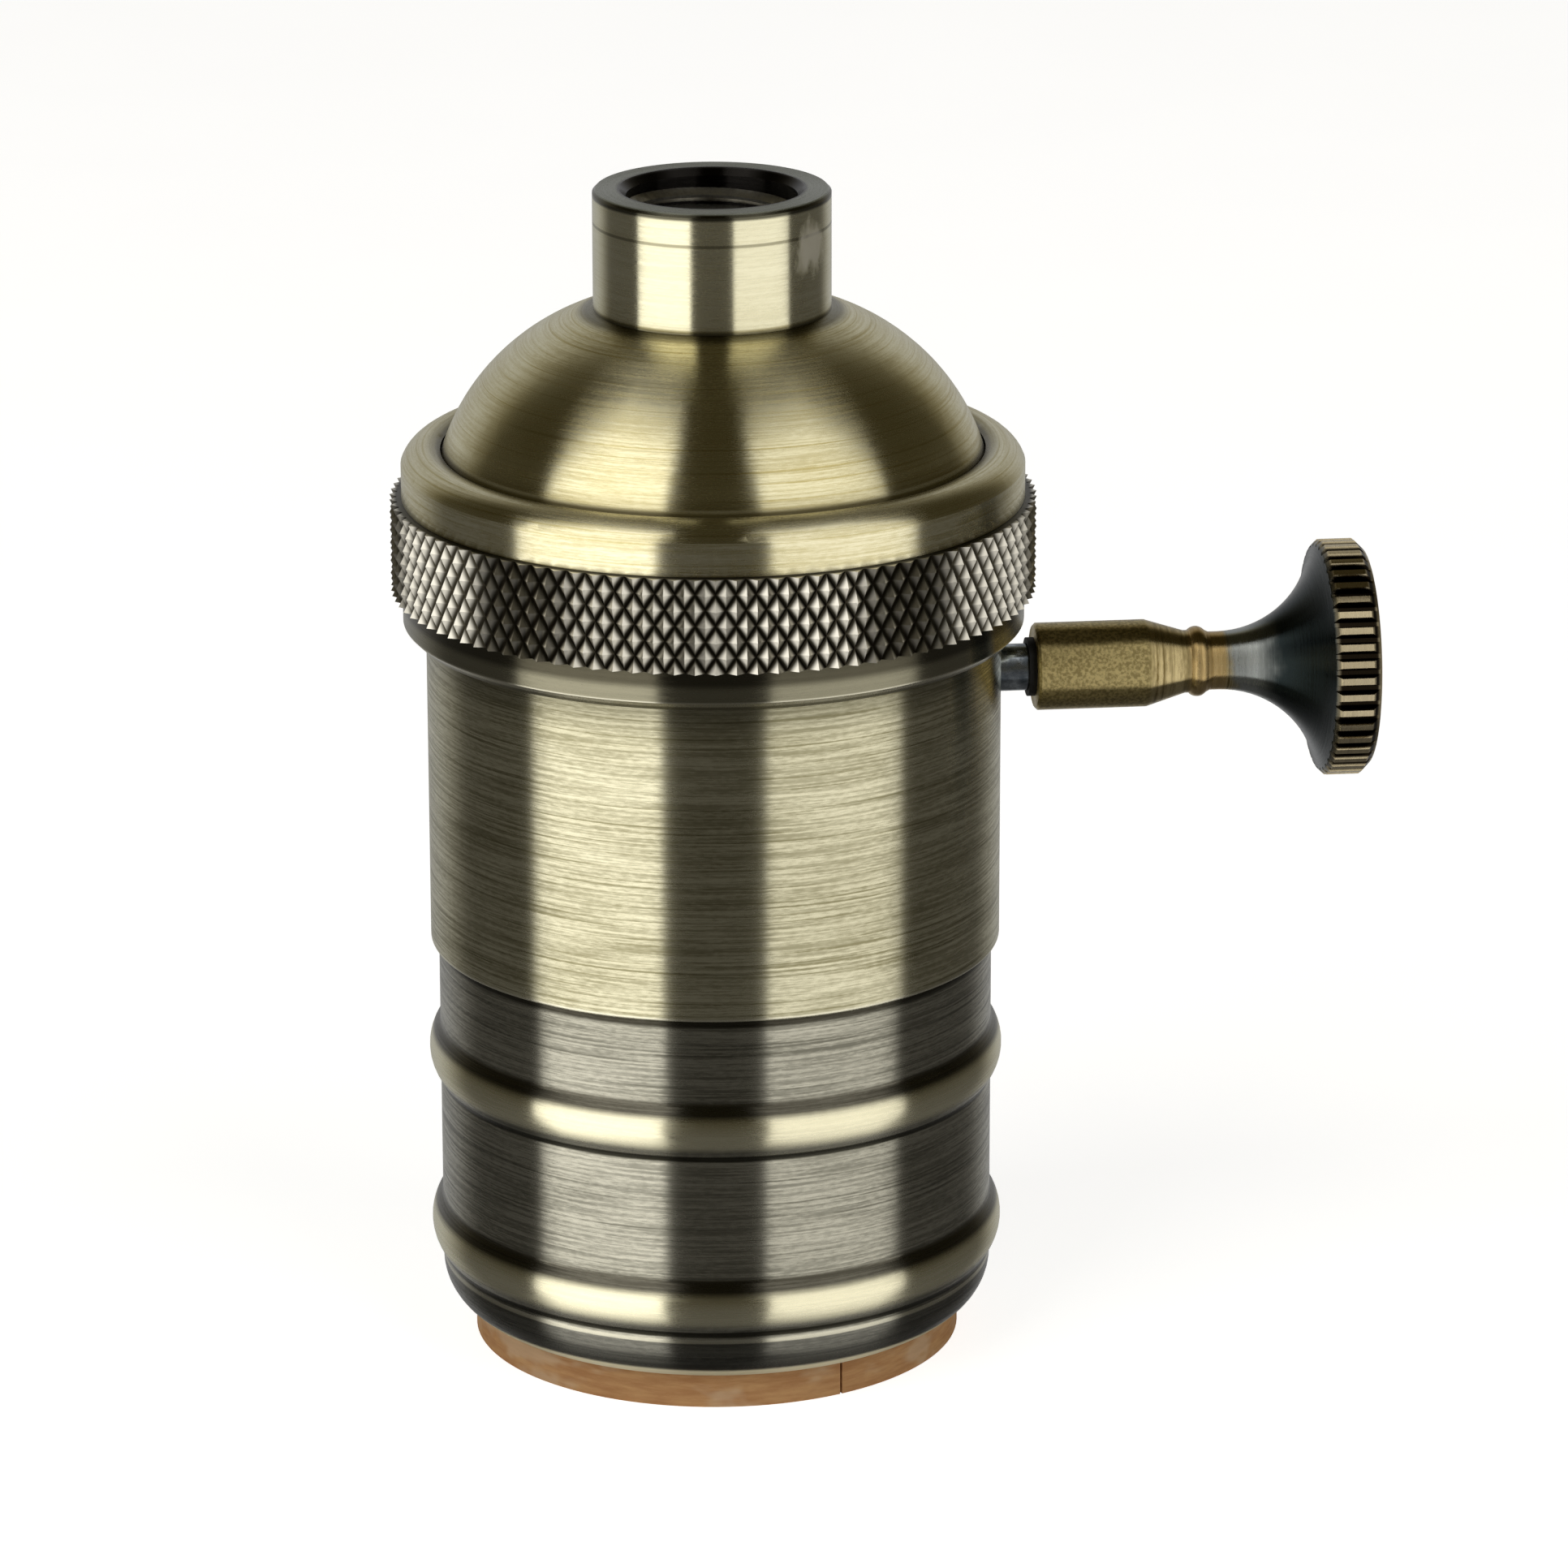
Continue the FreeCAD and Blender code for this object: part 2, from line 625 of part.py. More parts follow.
def make_screw_shell():
    """Sheet rolled to the lamp's round thread: a level circle that is carried up a thin helix."""
    body = new_body("screw_shell")
    top = "(dim.body_base - dim.lamp_sheet)"
    start = f"({top} - dim.lamp_turns * dim.lamp_pitch)"
    helix = make_helix("LampThread", "dim.lamp_pitch", "dim.lamp_turns", "dim.lamp_throw", start)
    for name, kind, radius in (
        ("ThreadOutside", "PartDesign::AdditivePipe", f"{LAMP_MEAN} + dim.lamp_sheet"),
        ("ThreadInside", "PartDesign::SubtractivePipe", LAMP_MEAN),
    ):
        sketch = new_sketch(body, name, "XY_Plane", start)
        draw_circle(sketch, "dim.lamp_throw", "0", radius)
        carry(body, kind, sketch, helix, "Fixed")
    disc = new_sketch(body, "EndDiscOutline", "XY_Plane", top)
    turned = "(dim.lamp_turns * 360deg)"
    centre = (f"dim.lamp_throw * cos({turned})", f"dim.lamp_throw * sin({turned})")
    draw_circle(disc, *centre, f"{LAMP_MEAN} + dim.lamp_sheet")
    draw_circle(disc, "0", "0", LAMP_WINDOW)
    for side in (f"-{RIVET_OFFSET}", RIVET_OFFSET):
        draw_circle(disc, side, "0", "dim.rivet_shank + dim.slip_gap")
    extrude(body, "EndDisc", disc, "dim.lamp_sheet")
    return body


def make_socket_body():
    """Moulded insulating body with the switch chamber, the contact well and all its bores."""
    body = new_body("socket_body")
    corners = [
        ("0", BOSS_BASE),
        (BOSS_RADIUS, BOSS_BASE),
        (BOSS_RADIUS, "dim.body_base"),
        (FOOT_RADIUS, "dim.body_base"),
        (FOOT_RADIUS, "dim.liner_height"),
        (BARREL_RADIUS, "dim.liner_height"),
        (BARREL_RADIUS, LOWER_RIM),
        (COLLAR_RADIUS, LOWER_RIM),
        (COLLAR_RADIUS, f"{LOWER_RIM} + dim.collar_height"),
        (HEAD_RADIUS, f"{LOWER_RIM} + dim.collar_height"),
        (HEAD_RADIUS, BODY_TOP),
        ("0", BODY_TOP),
    ]
    turn(body, "Moulding", corners)
    half = CHAMBER_HALF
    chamber = rectangle("-dim.chamber_back", "dim.chamber_front", f"-{half}", half)
    depth = f"{BODY_TOP} - {CHAMBER_FLOOR}"
    box_cut(body, "Chamber", "XY_Plane", chamber, depth, BODY_TOP)
    leg = "-dim.well_leg - dim.strip_gauge - dim.strip_gap"
    well = rectangle("-dim.well_half", "dim.well_half", leg, "dim.well_half")
    depth = f"{CHAMBER_FLOOR} - {WELL_FLOOR}"
    box_cut(body, "Well", "XY_Plane", well, depth, CHAMBER_FLOOR)
    eyelet = f"{EYELET_RADIUS} + dim.slip_gap"
    depth = f"{WELL_FLOOR} - {BOSS_BASE}"
    hole_cut(body, "EyeletBore", "XY_Plane", [("0", "0")], eyelet, depth, WELL_FLOOR)
    cut_strip_ways(body)
    cut_screw_bores(body)
    cut_shaft_bores(body)
    return body


def cut_strip_ways(body):
    """The neutral strip's groove down the side and its recess under the body."""
    half = "(dim.strip_half + dim.strip_gap)"
    outside = f"-{COLLAR_RADIUS} - dim.collar_height"
    groove = rectangle(outside, f"-{NEUTRAL_STAND}", f"-{half}", half)
    depth = f"{BODY_TOP} - dim.body_base"
    box_cut(body, "StripGroove", "XY_Plane", groove, depth, BODY_TOP)
    recess = rectangle(outside, f"-{FOOT_REACH} + dim.strip_gap", f"-{half}", half)
    box_cut(body, "FootRecess", "XY_Plane", recess, "dim.strip_gauge", "dim.body_base", reverse=True)


def cut_screw_bores(body):
    """Bores for the rivets, the terminal screws and the cover's screws."""
    rivets = [(f"-{RIVET_OFFSET}", "0"), (RIVET_OFFSET, "0")]
    radius = "dim.rivet_shank + dim.slip_gap"
    depth = "dim.rivet_length - dim.lamp_sheet"
    hole_cut(body, "RivetBores", "XY_Plane", rivets, radius, depth, "dim.body_base", True)
    radius = "dim.terminal_shank + dim.hole_gap"
    depth = "dim.terminal_length - dim.strip_gauge - dim.cover_thickness + dim.hole_gap"
    hole_cut(body, "TerminalBores", "XY_Plane", terminal_places(), radius, depth, BODY_TOP)
    radius = "dim.cover_screw_shank + dim.hole_gap"
    depth = "dim.cover_screw_length - dim.cover_thickness + dim.hole_gap"
    hole_cut(body, "CoverScrewBores", "XY_Plane", cover_places(), radius, depth, BODY_TOP)


def cut_shaft_bores(body):
    """The shaft's two bearings and the ledges that carry the detent leaf."""
    axis = [("0", "dim.knob_axis")]
    back = "-dim.chamber_back"
    depth = "dim.shaft_back - dim.chamber_back + dim.clip_gap"
    hole_cut(body, "BackBearing", "YZ_Plane", axis, "dim.shaft_radius + dim.shaft_gap", depth, back)
    bush = "dim.bush_radius + dim.slip_gap"
    reach = COLLAR_RADIUS
    hole_cut(body, "BushBore", "YZ_Plane", axis, bush, reach, "dim.chamber_front", True)
    half = "(dim.leaf_half + dim.strip_gap)"
    side = f"({CHAMBER_HALF} + dim.leaf_ledge)"
    ledge = rectangle(f"{CAM_MIDDLE} - {half}", f"{CAM_MIDDLE} + {half}", f"-{side}", side)
    box_cut(body, "LeafLedges", "XY_Plane", ledge, f"{BODY_TOP} - {LEAF_BASE}", BODY_TOP)


def terminal_places():
    """Centres of the live and the neutral terminal screws."""
    return [("0", TERMINAL_OFFSET), (f"-{TERMINAL_OFFSET}", "0")]


def cover_places():
    """Centres of the two cover screws, across a diagonal."""
    offset = f"({HEAD_RADIUS} - dim.cover_screw_inset)"
    turned = "(dim.cover_screw_turn * 1deg)"
    along, across = f"{offset} * cos({turned})", f"{offset} * sin({turned})"
    return [(along, across), (f"-{along}", f"-{across}")]


def make_switch_cover():
    """Insulating disc that closes the chamber; its tongue sits between the chamber's walls."""
    body = new_body("switch_cover")
    turn(body, "CoverDisc", rectangle("0", HEAD_RADIUS, BODY_TOP, COVER_TOP))
    tongue = new_sketch(body, "TongueOutline", "XY_Plane", BODY_TOP)
    side = "(dim.brush_stand - dim.tongue_gap)"
    back = "-dim.chamber_back + dim.tongue_gap"
    draw_outline(tongue, rectangle(back, "dim.chamber_front - dim.tongue_gap", f"-{side}", side))
    extrude(body, "Tongue", tongue, "dim.tongue_drop", reverse=True)
    half = "(dim.strip_half + dim.strip_gap)"
    inner = "dim.brush_stand - dim.strip_gap"
    outer = "dim.brush_stand + dim.strip_gauge + dim.strip_gap"
    through = "dim.cover_thickness + dim.tongue_drop"
    slot = rectangle(f"-{half}", half, inner, outer)
    box_cut(body, "LiveSlot", "XY_Plane", slot, through, COVER_TOP)
    notch = rectangle(f"-{HEAD_RADIUS} - dim.strip_gauge", f"-{NEUTRAL_STAND}", f"-{half}", half)
    box_cut(body, "NeutralNotch", "XY_Plane", notch, through, COVER_TOP)
    radius = "dim.terminal_shank + dim.hole_gap"
    hole_cut(body, "TerminalHoles", "XY_Plane", terminal_places(), radius, through, COVER_TOP)
    radius = "dim.cover_screw_shank + dim.hole_gap"
    hole_cut(body, "CoverHoles", "XY_Plane", cover_places(), radius, through, COVER_TOP)
    return body


def brush_side(sign, face, rising):
    """Three corners of a bowed brush, on one face of the strip; face is its extra distance out."""
    stand = f"{sign}(dim.brush_stand + {face})"
    touch = f"{sign}(dim.drum_radius + dim.brush_gap + {face})"
    corners = [
        (stand, "dim.knob_axis - dim.brush_rise"),
        (touch, "dim.knob_axis"),
        (stand, "dim.knob_axis + dim.brush_rise"),
    ]
    return corners if rising else corners[::-1]


def make_strip(name, plane, corners, holes):
    """Bent sheet strip: its side view extruded by its width, then drilled."""
    body = new_body(name)
    sketch = new_sketch(body, "StripOutline", plane)
    draw_outline(sketch, corners)
    extrude(body, "Strip", sketch, "2 * dim.strip_half", both=True)
    for number, (x, y, radius, height) in enumerate(holes):
        depth = "dim.strip_gauge"
        hole_cut(body, f"Hole{number}", "XY_Plane", [(x, y)], radius, depth, height)
    return body


def make_live_strip():
    """Brush on the drum's left, up through the cover, then out to the live terminal."""
    top = f"({COVER_TOP} + dim.strip_gauge)"
    reach = f"{TERMINAL_OFFSET} + dim.tab_reach"
    outside = "(dim.brush_stand + dim.strip_gauge)"
    corners = [
        *brush_side("", "0 * dim.strip_gauge", True),
        ("dim.brush_stand", top),
        (reach, top),
        (reach, COVER_TOP),
        (outside, COVER_TOP),
        *brush_side("", "dim.strip_gauge", False),
    ]
    radius = "dim.terminal_shank + dim.hole_gap"
    return make_strip("live_strip", "YZ_Plane", corners, [(*terminal_places()[0], radius, top)])


def make_contact_strip():
    """Brush on the drum's right, down into the well, then a foot that the eyelet clamps."""
    gauge = "dim.strip_gauge"
    floor, foot = CHAMBER_FLOOR, WELL_FLOOR
    corners = [
        *brush_side("-", "0 * dim.strip_gauge", False),
        ("-dim.brush_stand", f"{floor} + {gauge}"),
        ("-dim.well_leg", f"{floor} + {gauge}"),
        ("-dim.well_leg", f"{foot} + {gauge}"),
        ("dim.strip_half", f"{foot} + {gauge}"),
        ("dim.strip_half", foot),
        (f"-dim.well_leg - {gauge}", foot),
        (f"-dim.well_leg - {gauge}", floor),
        (f"-dim.brush_stand - {gauge}", floor),
        *brush_side("-", gauge, True),
    ]
    hole = ("0", "0", f"{EYELET_RADIUS} + dim.slip_gap", f"{foot} + {gauge}")
    return make_strip("contact_strip", "YZ_Plane", corners, [hole])


def make_neutral_strip():
    """From under the body, up its side and over the cover to the neutral terminal."""
    gauge = "dim.strip_gauge"
    top = f"({COVER_TOP} + {gauge})"
    reach = f"dim.tab_reach - {TERMINAL_OFFSET}"
    outside = f"-{NEUTRAL_STAND} - {gauge}"
    corners = [
        (f"-{FOOT_REACH}", "dim.body_base"),
        (outside, "dim.body_base"),
        (outside, top),
        (reach, top),
        (reach, COVER_TOP),
        (f"-{NEUTRAL_STAND}", COVER_TOP),
        (f"-{NEUTRAL_STAND}", f"dim.body_base + {gauge}"),
        (f"-{FOOT_REACH}", f"dim.body_base + {gauge}"),
    ]
    screw = (*terminal_places()[1], "dim.terminal_shank + dim.hole_gap", top)
    foot_top = f"dim.body_base + {gauge}"
    rivet = (f"-{RIVET_OFFSET}", "0", "dim.rivet_shank + dim.slip_gap", foot_top)
    return make_strip("neutral_strip", "XZ_Plane", corners, [screw, rivet])


def make_screw(name, place, seat, size, length):
    """Cheese-head screw with a driver slot; size is the prefix of its other sizes."""
    head, shank = f"dim.{size}_head", f"dim.{size}_shank"
    rise = f"dim.{size}_head_height"
    body = new_body(name, seat)
    body.setExpression("Placement.Base.x", place[0])
    body.setExpression("Placement.Base.y", place[1])
    corners = [
        ("0", f"-{length}"),
        (shank, f"-{length}"),
        (shank, "0"),
        (head, "0"),
        (head, f"{rise} - dim.neck_chamfer"),
        (f"{head} - dim.neck_chamfer", rise),
        ("0", rise),
    ]
    turn(body, "ScrewForm", corners)
    half = "dim.driver_slot / 2"
    slot = rectangle(f"-{half}", half, f"-{head}", head)
    box_cut(body, "DriverSlot", "XY_Plane", slot, "dim.driver_depth", rise)
    return body


def make_terminal_screws():
    """A brass screw for the live strip and a plated one for the neutral strip."""
    seat = f"{COVER_TOP} + dim.strip_gauge"
    live, neutral = terminal_places()
    return [
        make_screw("live_screw", live, seat, "terminal", "dim.terminal_length"),
        make_screw("neutral_screw", neutral, seat, "terminal", "dim.terminal_length"),
    ]


def make_group(name, members):
    """Identical fasteners that share one node."""
    group = doc.addObject("Part::Compound", name)
    group.Label = name
    group.Links = members
    doc.recompute()
    return group


def make_cover_screws():
    """The two screws that hold the cover on the body."""
    members = [
        make_screw(f"cover_screw_{n}", place, COVER_TOP, "cover_screw", "dim.cover_screw_length")
        for n, place in enumerate(cover_places(), start=1)
    ]
    return make_group("cover_screws", members)


def make_shell_rivets():
    """Two rivets through the screw shell's end disc; one of them also clamps the neutral strip."""
    members = []
    for number, side in enumerate((f"-{RIVET_OFFSET}", RIVET_OFFSET), start=1):
        rivet = new_body(f"shell_rivet_{number}", "dim.body_base - dim.lamp_sheet")
        rivet.setExpression("Placement.Base.x", side)
        corners = [
            ("0", "-dim.rivet_head_height"),
            ("dim.rivet_shank", "-dim.rivet_head_height"),
            ("dim.rivet_head", "0"),
            ("dim.rivet_shank", "0"),
            ("dim.rivet_shank", "dim.rivet_length"),
            ("0", "dim.rivet_length"),
        ]
        turn(rivet, "RivetForm", corners)
        members.append(rivet)
    return make_group("shell_rivets", members)


def make_contact_eyelet():
    """Flanged tube that guides the plunger and clamps the contact strip's foot."""
    body = new_body("contact_eyelet")
    bore = "dim.stem_radius + dim.stem_gap"
    seat = f"{WELL_FLOOR} + dim.strip_gauge"
    corners = [
        (bore, f"{BOSS_BASE} - dim.eyelet_lip"),
        ("dim.eyelet_flange", f"{BOSS_BASE} - dim.eyelet_lip"),
        ("dim.eyelet_flange", BOSS_BASE),
        (EYELET_RADIUS, BOSS_BASE),
        (EYELET_RADIUS, seat),
        ("dim.eyelet_swage", seat),
        ("dim.eyelet_swage", EYELET_TOP),
        (bore, EYELET_TOP),
    ]
    turn(body, "Eyelet", corners)
    return body


def make_centre_contact():
    """Plunger with a crowned head, and a groove near its top for the clip."""
    body = new_body("centre_contact")
    clip_base = f"({EYELET_TOP} + dim.clip_gap)"
    groove = "dim.stem_radius - dim.clip_groove"
    crown = "(dim.contact_radius^2 + dim.contact_crown^2) / (2 * dim.contact_crown)"
    corners = [
        ("0", CONTACT_TIP, crown, "left"),
        ("dim.contact_radius", f"{CONTACT_TIP} + dim.contact_crown"),
        ("dim.contact_radius", CONTACT_BACK),
        ("dim.stem_radius", CONTACT_BACK),
        ("dim.stem_radius", clip_base),
        (groove, clip_base),
        (groove, f"{clip_base} + dim.clip_thickness"),
        ("dim.stem_radius", f"{clip_base} + dim.clip_thickness"),
        ("dim.stem_radius", STEM_TOP),
        ("0", STEM_TOP),
    ]
    turn(body, "Plunger", corners)
    return body


def make_helix(name, pitch, turns, radius, start):
    """A helix about the holder's axis, for a piece that is carried along it."""
    helix = doc.addObject("Part::Helix", name)
    helix.setExpression("Pitch", pitch)
    helix.setExpression("Height", f"{turns} * {pitch}")
    helix.setExpression("Radius", radius)
    helix.setExpression("Placement.Base.z", start)
    doc.recompute()
    return helix


def carry(body, kind, sketch, helix, mode):
    """Adds or removes a sketch's outline carried along a helix."""
    pipe = body.newObject(kind, f"{sketch.Name}Carried")
    pipe.Profile = sketch
    pipe.Spine = (helix, [])
    pipe.Mode = mode
    doc.recompute()


def make_contact_spring():
    """Coil between the plunger's head and the eyelet's flange."""
    height = f"({BOSS_BASE} - dim.eyelet_lip - {CONTACT_BACK} - 2 * dim.spring_wire)"
    start = f"({CONTACT_BACK} + dim.spring_wire)"
    pitch = f"({height} / dim.spring_turns)"
    helix = make_helix("SpringLine", pitch, "dim.spring_turns", "dim.spring_radius", start)
    body = new_body("contact_spring")
    sketch = new_sketch(body, "SpringWire", "XZ_Plane")
    draw_circle(sketch, "dim.spring_radius", start, "dim.spring_wire")
    carry(body, "PartDesign::AdditivePipe", sketch, helix, "Frenet")
    return body


def make_clip(name, plane, start, shaft, height=None):
    """Open retaining clip that snaps into a groove."""
    body = new_body(name, height)
    sketch = new_sketch(body, "ClipOutline", plane, start)
    inner = f"({shaft} - dim.clip_groove + dim.slip_gap)"
    draw_circle(sketch, "0", "0", "dim.clip_radius")
    draw_circle(sketch, "0", "0", inner)
    extrude(body, "ClipRing", sketch, "dim.clip_thickness")
    mouth = rectangle(f"-{inner}", inner, "0", "dim.clip_radius + dim.clip_thickness")
    mouth_start = f"{start} + dim.clip_thickness"
    box_cut(body, "ClipMouth", plane, mouth, "dim.clip_thickness", mouth_start)
    return body


def turn_on_shaft(name, outline_name, corners):
    """A piece turned about the knob's axis, from sizes along X and radii."""
    body = new_body(name, "dim.knob_axis")
    turn(body, outline_name, corners, axis="H_Axis")
    return body


def make_switch_shaft():
    """Steel rod from its blind bearing, through the switch and the bush, into the knob."""
    groove = "dim.shaft_radius - dim.clip_groove"
    tip = f"{SHAFT_TIP} - dim.neck_chamfer"
    corners = [
        ("-dim.shaft_back", "0"),
        ("-dim.shaft_back", "dim.shaft_radius"),
        (SHAFT_CLIP, "dim.shaft_radius"),
        (SHAFT_CLIP, groove),
        (f"{SHAFT_CLIP} + dim.clip_thickness", groove),
        (f"{SHAFT_CLIP} + dim.clip_thickness", "dim.shaft_radius"),
        (tip, "dim.shaft_radius"),
        (SHAFT_TIP, "dim.shaft_radius - dim.neck_chamfer"),
        (SHAFT_TIP, "0"),
    ]
    return turn_on_shaft("switch_shaft", "Shaft", corners)


def sector(side, arc_radius, depth, half_angle):
    """A curved pad of the drum's rim about +Y or -Y; side is the sign of that direction."""
    inner = f"({arc_radius} - {depth})"
    across, rise = f"cos({half_angle})", f"sin({half_angle})"
    turn_out, turn_in = ("left", "right") if side == "" else ("right", "left")
    return [
        (f"{side}{arc_radius} * {across}", f"-{arc_radius} * {rise}", arc_radius, turn_out),
        (f"{side}{arc_radius} * {across}", f"{arc_radius} * {rise}"),
        (f"{side}{inner} * {across}", f"{inner} * {rise}", inner, turn_in),
        (f"{side}{inner} * {across}", f"-{inner} * {rise}"),
    ]


def draw_segments(body, name, offset=None):
    """Both contact pads in one sketch."""
    sketch = new_sketch(body, name, "YZ_Plane", offset)
    for side in ("", "-"):
        half_angle = "(dim.segment_arc / 2 * 1deg)"
        draw_outline(sketch, sector(side, "dim.drum_radius", "dim.segment_depth", half_angle))
    return sketch


def make_rotor_drum():
    """Insulating drum with beds for the two contact pads."""
    corners = rectangle("-dim.drum_half", "dim.drum_half", SHAFT_BORE, "dim.drum_radius")
    body = turn_on_shaft("rotor_drum", "Drum", corners)
    beds = draw_segments(body, "PadBedsOutline")
    extrude(body, "PadBeds", beds, "2 * dim.drum_half", cut=True, both=True)
    return body


def make_rotor_contact():
    """Two brass pads, flush with the drum, joined by a bridge across its end."""
    body = new_body("rotor_contact", "dim.knob_axis")
    half = "dim.bridge_half"
    reach = "sqrt(dim.drum_radius^2 - dim.bridge_half^2)"
    bridge = new_sketch(body, "BridgeOutline", "YZ_Plane", "dim.drum_half")
    draw_outline(bridge, rectangle(f"-{reach}", reach, f"-{half}", half))
    extrude(body, "Bridge", bridge, "dim.segment_bridge")
    bridge_end = "dim.drum_half + dim.segment_bridge"
    pads = draw_segments(body, "PadsOutline", bridge_end)
    extrude(body, "Pads", pads, "2 * dim.drum_half + dim.segment_bridge", reverse=True)
    bore = [("0", "0")]
    reach = "dim.segment_bridge"
    hole_cut(body, "BridgeBore", "YZ_Plane", bore, SHAFT_BORE, reach, bridge_end)
    return body


def make_detent_cam():
    """Rounded square that clicks past the leaf at each quarter turn."""
    body = new_body("detent_cam", "dim.knob_axis")
    sketch = new_sketch(body, "CamOutline", "YZ_Plane", CAM_START)
    flat, corner = "dim.cam_flat", "dim.cam_corner"
    near = f"({flat} - {corner})"
    quarter = [(flat, f"-{near}"), (flat, near), (near, flat), (f"-{near}", flat)]
    opposite = [(f"-{flat}", near), (f"-{flat}", f"-{near}"), (f"-{near}", f"-{flat}")]
    corners = [*quarter, *opposite, (near, f"-{flat}")]
    rounded = [
        (x, y, corner, "left") if number % 2 else (x, y) for number, (x, y) in enumerate(corners)
    ]
    draw_outline(sketch, rounded)
    draw_circle(sketch, "0", "0", SHAFT_BORE)
    extrude(body, "Cam", sketch, "dim.cam_length")
    return body


def make_detent_leaf():
    """Spring strip across the chamber, with its turned-up ends on the two ledges."""
    body = new_body("detent_leaf", LEAF_BASE)
    sketch = new_sketch(body, "LeafOutline", "YZ_Plane", CAM_MIDDLE)
    outer = f"({CHAMBER_HALF} + dim.leaf_ledge - dim.strip_gap)"
    inner = f"({outer} - dim.leaf_gauge)"
    corners = [
        (f"-{outer}", "0"),
        (outer, "0"),
        (outer, "dim.leaf_tab"),
        (inner, "dim.leaf_tab"),
        (inner, "dim.leaf_gauge"),
        (f"-{inner}", "dim.leaf_gauge"),
        (f"-{inner}", "dim.leaf_tab"),
        (f"-{outer}", "dim.leaf_tab"),
    ]
    draw_outline(sketch, corners)
    extrude(body, "Leaf", sketch, "2 * dim.leaf_half", both=True)
    return body


def make_shaft_bush():
    """Flanged brass bearing in the body's wall."""
    bore = "dim.shaft_radius + dim.shaft_gap"
    inside = "dim.chamber_front - dim.bush_flange_length"
    corners = [
        (inside, bore),
        (inside, "dim.bush_flange"),
        ("dim.chamber_front", "dim.bush_flange"),
        ("dim.chamber_front", "dim.bush_radius"),
        ("dim.bush_reach", "dim.bush_radius"),
        ("dim.bush_reach", bore),
    ]
    return turn_on_shaft("shaft_bush", "Bush", corners)


def make_thrust_washer():
    """Dark fibre washer on the shaft, against the knob's sleeve."""
    start = "dim.knob_start - dim.washer_thickness"
    corners = rectangle(start, "dim.knob_start", SHAFT_BORE, "dim.washer_radius")
    return turn_on_shaft("thrust_washer", "Washer", corners)


def make_turn_knob():
    """One turned piece: sleeve, taper, bead, waist and a flare into a toothed wheel."""
    bead_half = "(dim.collar_bead_length / 2)"
    proud = "dim.collar_bead_proud"
    bead_swing = f"({bead_half}^2 + {proud}^2) / (2 * {proud})"
    bore_end = "dim.knob_start + dim.knob_bore"
    corners = [
        ("dim.knob_start", SHAFT_BORE),
        ("dim.knob_start", "dim.sleeve_radius - dim.sleeve_chamfer"),
        ("dim.knob_start + dim.sleeve_chamfer", "dim.sleeve_radius"),
        (SLEEVE_END, "dim.sleeve_radius"),
        (TAPER_END, "dim.groove_radius"),
        (COLLAR_BEAD, "dim.groove_radius", bead_swing, "right"),
        (COLLAR_BEAD_END, "dim.groove_radius"),
        (WAIST_START, "dim.waist_radius"),
        (FLARE_START, "dim.waist_radius", "dim.flare_swing", "left"),
        (FLARE_END, FLARE_RADIUS),
        (f"{FLARE_END} + dim.wheel_back", "dim.wheel_radius"),
        (f"{WHEEL_END} - dim.wheel_chamfer", "dim.wheel_radius"),
        (WHEEL_END, "dim.wheel_radius - dim.wheel_chamfer"),
        (WHEEL_END, "0"),
        (bore_end, "0"),
        (bore_end, SHAFT_BORE),
    ]
    body = turn_on_shaft("turn_knob", "KnobForm", corners)
    cut_teeth(body)
    return body


def cut_teeth(body):
    """Straight valleys around the wheel's rim, one pocket in a full circle of copies."""
    sketch = new_sketch(body, "ToothGapOutline", "YZ_Plane", WHEEL_END)
    root = "dim.wheel_radius - dim.tooth_depth"
    clear = "dim.wheel_radius + dim.tooth_depth"
    half = "dim.tooth_gap / 2"
    floor = "dim.tooth_gap / 5"
    corners = [
        (f"-{floor}", root),
        (floor, root),
        (half, "dim.wheel_radius"),
        (half, clear),
        (f"-{half}", clear),
        (f"-{half}", "dim.wheel_radius"),
    ]
    draw_outline(sketch, corners)
    gap = extrude(body, "ToothGap", sketch, f"{WHEEL_END} - {FLARE_START}", cut=True)
    pattern = body.newObject("PartDesign::PolarPattern", "Teeth")
    pattern.Originals = [gap]
    axis = next(item for item in body.Origin.OriginFeatures if item.Role == "X_Axis")
    pattern.Axis = (axis, [""])
    pattern.Angle = 360
    pattern.setExpression("Occurrences", "dim.tooth_count")
    body.Tip = pattern
    doc.recompute()


def make_pieces():
    """Every piece of the holder, in the order it goes together."""
    stem_clip = f"{EYELET_TOP} + dim.clip_gap"
    return [
        make_lower_shell(),
        make_upper_shell(),
        make_paper_liner(),
        make_screw_shell(),
        make_shell_rivets(),
        make_socket_body(),
        make_contact_eyelet(),
        make_centre_contact(),
        make_contact_spring(),
        make_clip("contact_clip", "XY_Plane", stem_clip, "dim.stem_radius"),
        make_contact_strip(),
        make_live_strip(),
        make_neutral_strip(),
        make_shaft_bush(),
        make_switch_shaft(),
        make_clip("shaft_clip", "YZ_Plane", SHAFT_CLIP, "dim.shaft_radius", "dim.knob_axis"),
        make_rotor_drum(),
        make_rotor_contact(),
        make_detent_cam(),
        make_detent_leaf(),
        make_switch_cover(),
        *make_terminal_screws(),
        make_cover_screws(),
        make_thrust_washer(),
        make_turn_knob(),
        make_dome_cap(),
        make_knurled_ring(),
    ]


